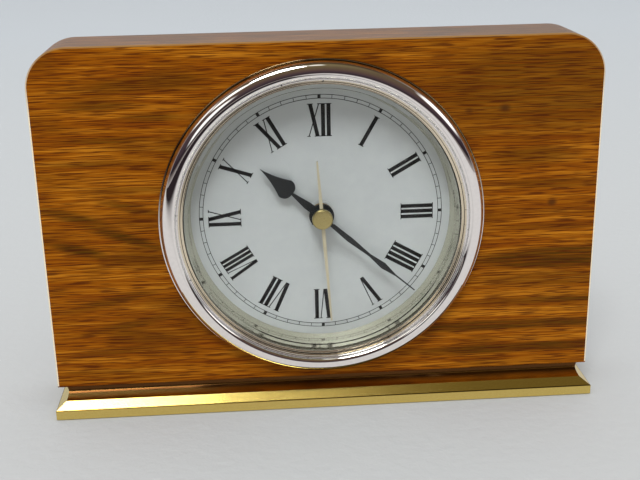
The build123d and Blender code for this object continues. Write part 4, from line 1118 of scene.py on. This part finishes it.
class Battery(SubAssembly):
    """The cell and the leaves that it lies between."""

    finishes = {SLEEVE: ("battery_cell",), SPRING_STEEL: ("contact_plus", "contact_minus")}


@dataclass(frozen=True)
class Lamp:
    """A soft lamp: where it hangs, its size and its brightness."""

    name: str
    place: Triple
    size: Pair
    brightness: float


@dataclass
class Studio:
    """Floor, soft lamps, surroundings and camera, with the camera where the photograph was taken."""

    camera_place: Triple = (-20.404, -314.64, 159.20)
    yaw: float = -3.662
    pitch: float = 19.002
    roll: float = -1.134
    lens: float = 58.63
    sensor: float = 36.0
    clip: Pair = (1.0, 20000.0)
    floor_radius: float = 6000.0
    aim: Triple = (0.0, 0.0, 60.0)
    lamps: tuple[Lamp, ...] = (Lamp("key_panel", (-350.0, -1850.0, 3000.0), (1300.0, 900.0), 14.0),)
    # What polished metal shows of the room by height: in front of the clock, and the pale sheet behind it
    room_stops: Stops = (
        (0.0, "#A8A09C"), (0.05, "#7A706C"), (0.1, "#2A2024"), (0.2, "#40343A"), (0.35, "#4E3E40"),
        (0.55, "#5E4A42"), (0.85, "#6C5C44"), (1.0, "#827454"),
    )
    sheet_stops: Stops = ((0.0, "#D4D7DA"), (0.6, "#C6C3BC"), (0.85, "#4A3C2E"), (1.0, "#5A4A34"))
    sheet_fade: Fade = Fade(-0.05, 0.15)
    # Directions and sizes of the lamps that polished metal shows, with their brightness
    gleams: tuple[Spot, ...] = (
        Spot((-0.27, -0.18, 0.95), (0.24, 0.17, 0.4), 11.0, 0.16),
        Spot((0.03, -0.15, 0.98), (0.09, 0.14, 0.4), 0.9, 0.5),
        Spot((-0.6, -0.28, 0.72), (0.26, 0.22, 0.24), 1.6, 0.5),
        Spot((-0.57, -0.75, 0.33), (0.24, 0.26, 0.22), 1.3, 0.4),
        Spot((-0.83, 0.02, 0.57), (0.2, 0.22, 0.17), 1.1, 0.5),
        Spot((0.87, -0.12, 0.46), (0.24, 0.44, 0.26), 1.6, 0.5),
    )
    gleam_colour: str = "#FFFDF8"
    dome_stops: Stops = ((0.0, "#B9BABC"), (0.5, "#E4E5E7"), (0.9, "#FFFFFF"))
    dome_strength: float = 1.1

    def build_camera(self) -> None:
        """Place the camera, turned by its yaw, tipped down by its pitch and rolled, and make it the scene's."""
        data = bpy.data.cameras.new("camera")
        data.lens = self.lens
        data.sensor_width = self.sensor
        data.clip_start, data.clip_end = (limit * MM for limit in self.clip)
        # Unturned, a camera looks straight down: a quarter turn makes it level
        turns = ((radians(self.yaw), "Z"), (pi / 2 - radians(self.pitch), "X"), (radians(self.roll), "Z"))
        matrix = Matrix.Translation(Vector(self.camera_place) * MM)
        for angle, axis in turns:
            matrix = matrix @ Matrix.Rotation(angle, 4, axis)
        camera = placed("camera", data)
        camera.matrix_world = matrix
        bpy.context.scene.camera = camera

    def build_lamps(self) -> None:
        """Hang the lamps, each turned towards the clock, with its power from its brightness and area."""
        target = Vector(self.aim) * MM
        for lamp in self.lamps:
            data = bpy.data.lights.new(lamp.name, "AREA")
            data.shape = "RECTANGLE"
            data.size, data.size_y = lamp.size[0] * MM, lamp.size[1] * MM
            data.energy = lamp.brightness * LAMP_SHARE * data.size * data.size_y
            hung = placed(lamp.name, data)
            hung.location = Vector(lamp.place) * MM
            hung.rotation_euler = (target - hung.location).to_track_quat("-Z", "Y").to_euler()
            # The surroundings show its gleam
            hung.visible_glossy = False

    def build_floor(self) -> None:
        """Lay a pale paper floor out to where the view ends."""
        reach = self.floor_radius * MM
        mesh = bpy.data.meshes.new("floor")
        corners = [(-reach, -reach, 0.0), (reach, -reach, 0.0), (reach, reach, 0.0), (-reach, reach, 0.0)]
        mesh.from_pydata(corners, [], [(0, 1, 2, 3)])
        floor = placed("floor", mesh)
        dress(floor, made(PAPER))

    def build_surroundings(self) -> None:
        """Surround the clock with a soft dome of light, and with a room that polished metal shows.

        The room is pale up to the horizon, then dark in front of the clock with a warm ceiling over it,
        and has a pale sheet behind. Its lamps are soft spots in their directions.
        """
        world = bpy.data.worlds.new("soft_studio")
        world.use_nodes = True
        bpy.context.scene.world = world
        graph = Graph(world.node_tree)
        way = graph.add("ShaderNodeTexCoord").outputs["Generated"]
        _, back, up = graph.axes(way)
        dome, room, sheet = (graph.ramp(up, stops) for stops in (self.dome_stops, self.room_stops, self.sheet_stops))
        seen = graph.mix(self.sheet_fade.of(graph, back), room, sheet)
        shown = graph.add("ShaderNodeBackground", {"Color": seen, "Strength": 1.0})
        tone = linear(self.gleam_colour)
        for gleam in self.gleams:
            light = graph.add("ShaderNodeBackground", {"Color": tone, "Strength": gleam.near(graph, way)})
            shown = graph.add("ShaderNodeAddShader", {0: shown, 1: light})
        soft = graph.add("ShaderNodeBackground", {"Color": dome, "Strength": self.dome_strength})
        glossy = graph.add("ShaderNodeLightPath").outputs["Is Glossy Ray"]
        mix = graph.add("ShaderNodeMixShader", {0: glossy, 1: soft, 2: shown})
        graph.add("ShaderNodeOutputWorld", {"Surface": mix})

    def build(self) -> None:
        """Set the whole studio up."""
        bpy.context.scene.view_settings.view_transform = "Standard"
        self.build_surroundings()
        self.build_floor()
        self.build_lamps()
        self.build_camera()


def main() -> None:
    """Dress the frame piece by piece, make the new pieces and set up the studio."""
    logging.basicConfig(level=logging.INFO, format="%(message)s")
    place = DialPlace.from_frame()
    parts = (WoodCase(), MetalBase(), DialWindow(place), PrintedDial(place), Hands(place), Movement(), Battery())
    for part in parts:
        part.dress_nodes(frame["nodes"])
        for piece in part.build():
            log.info("made %s", piece.name)
    Studio().build()


if __name__ == "__main__":
    main()
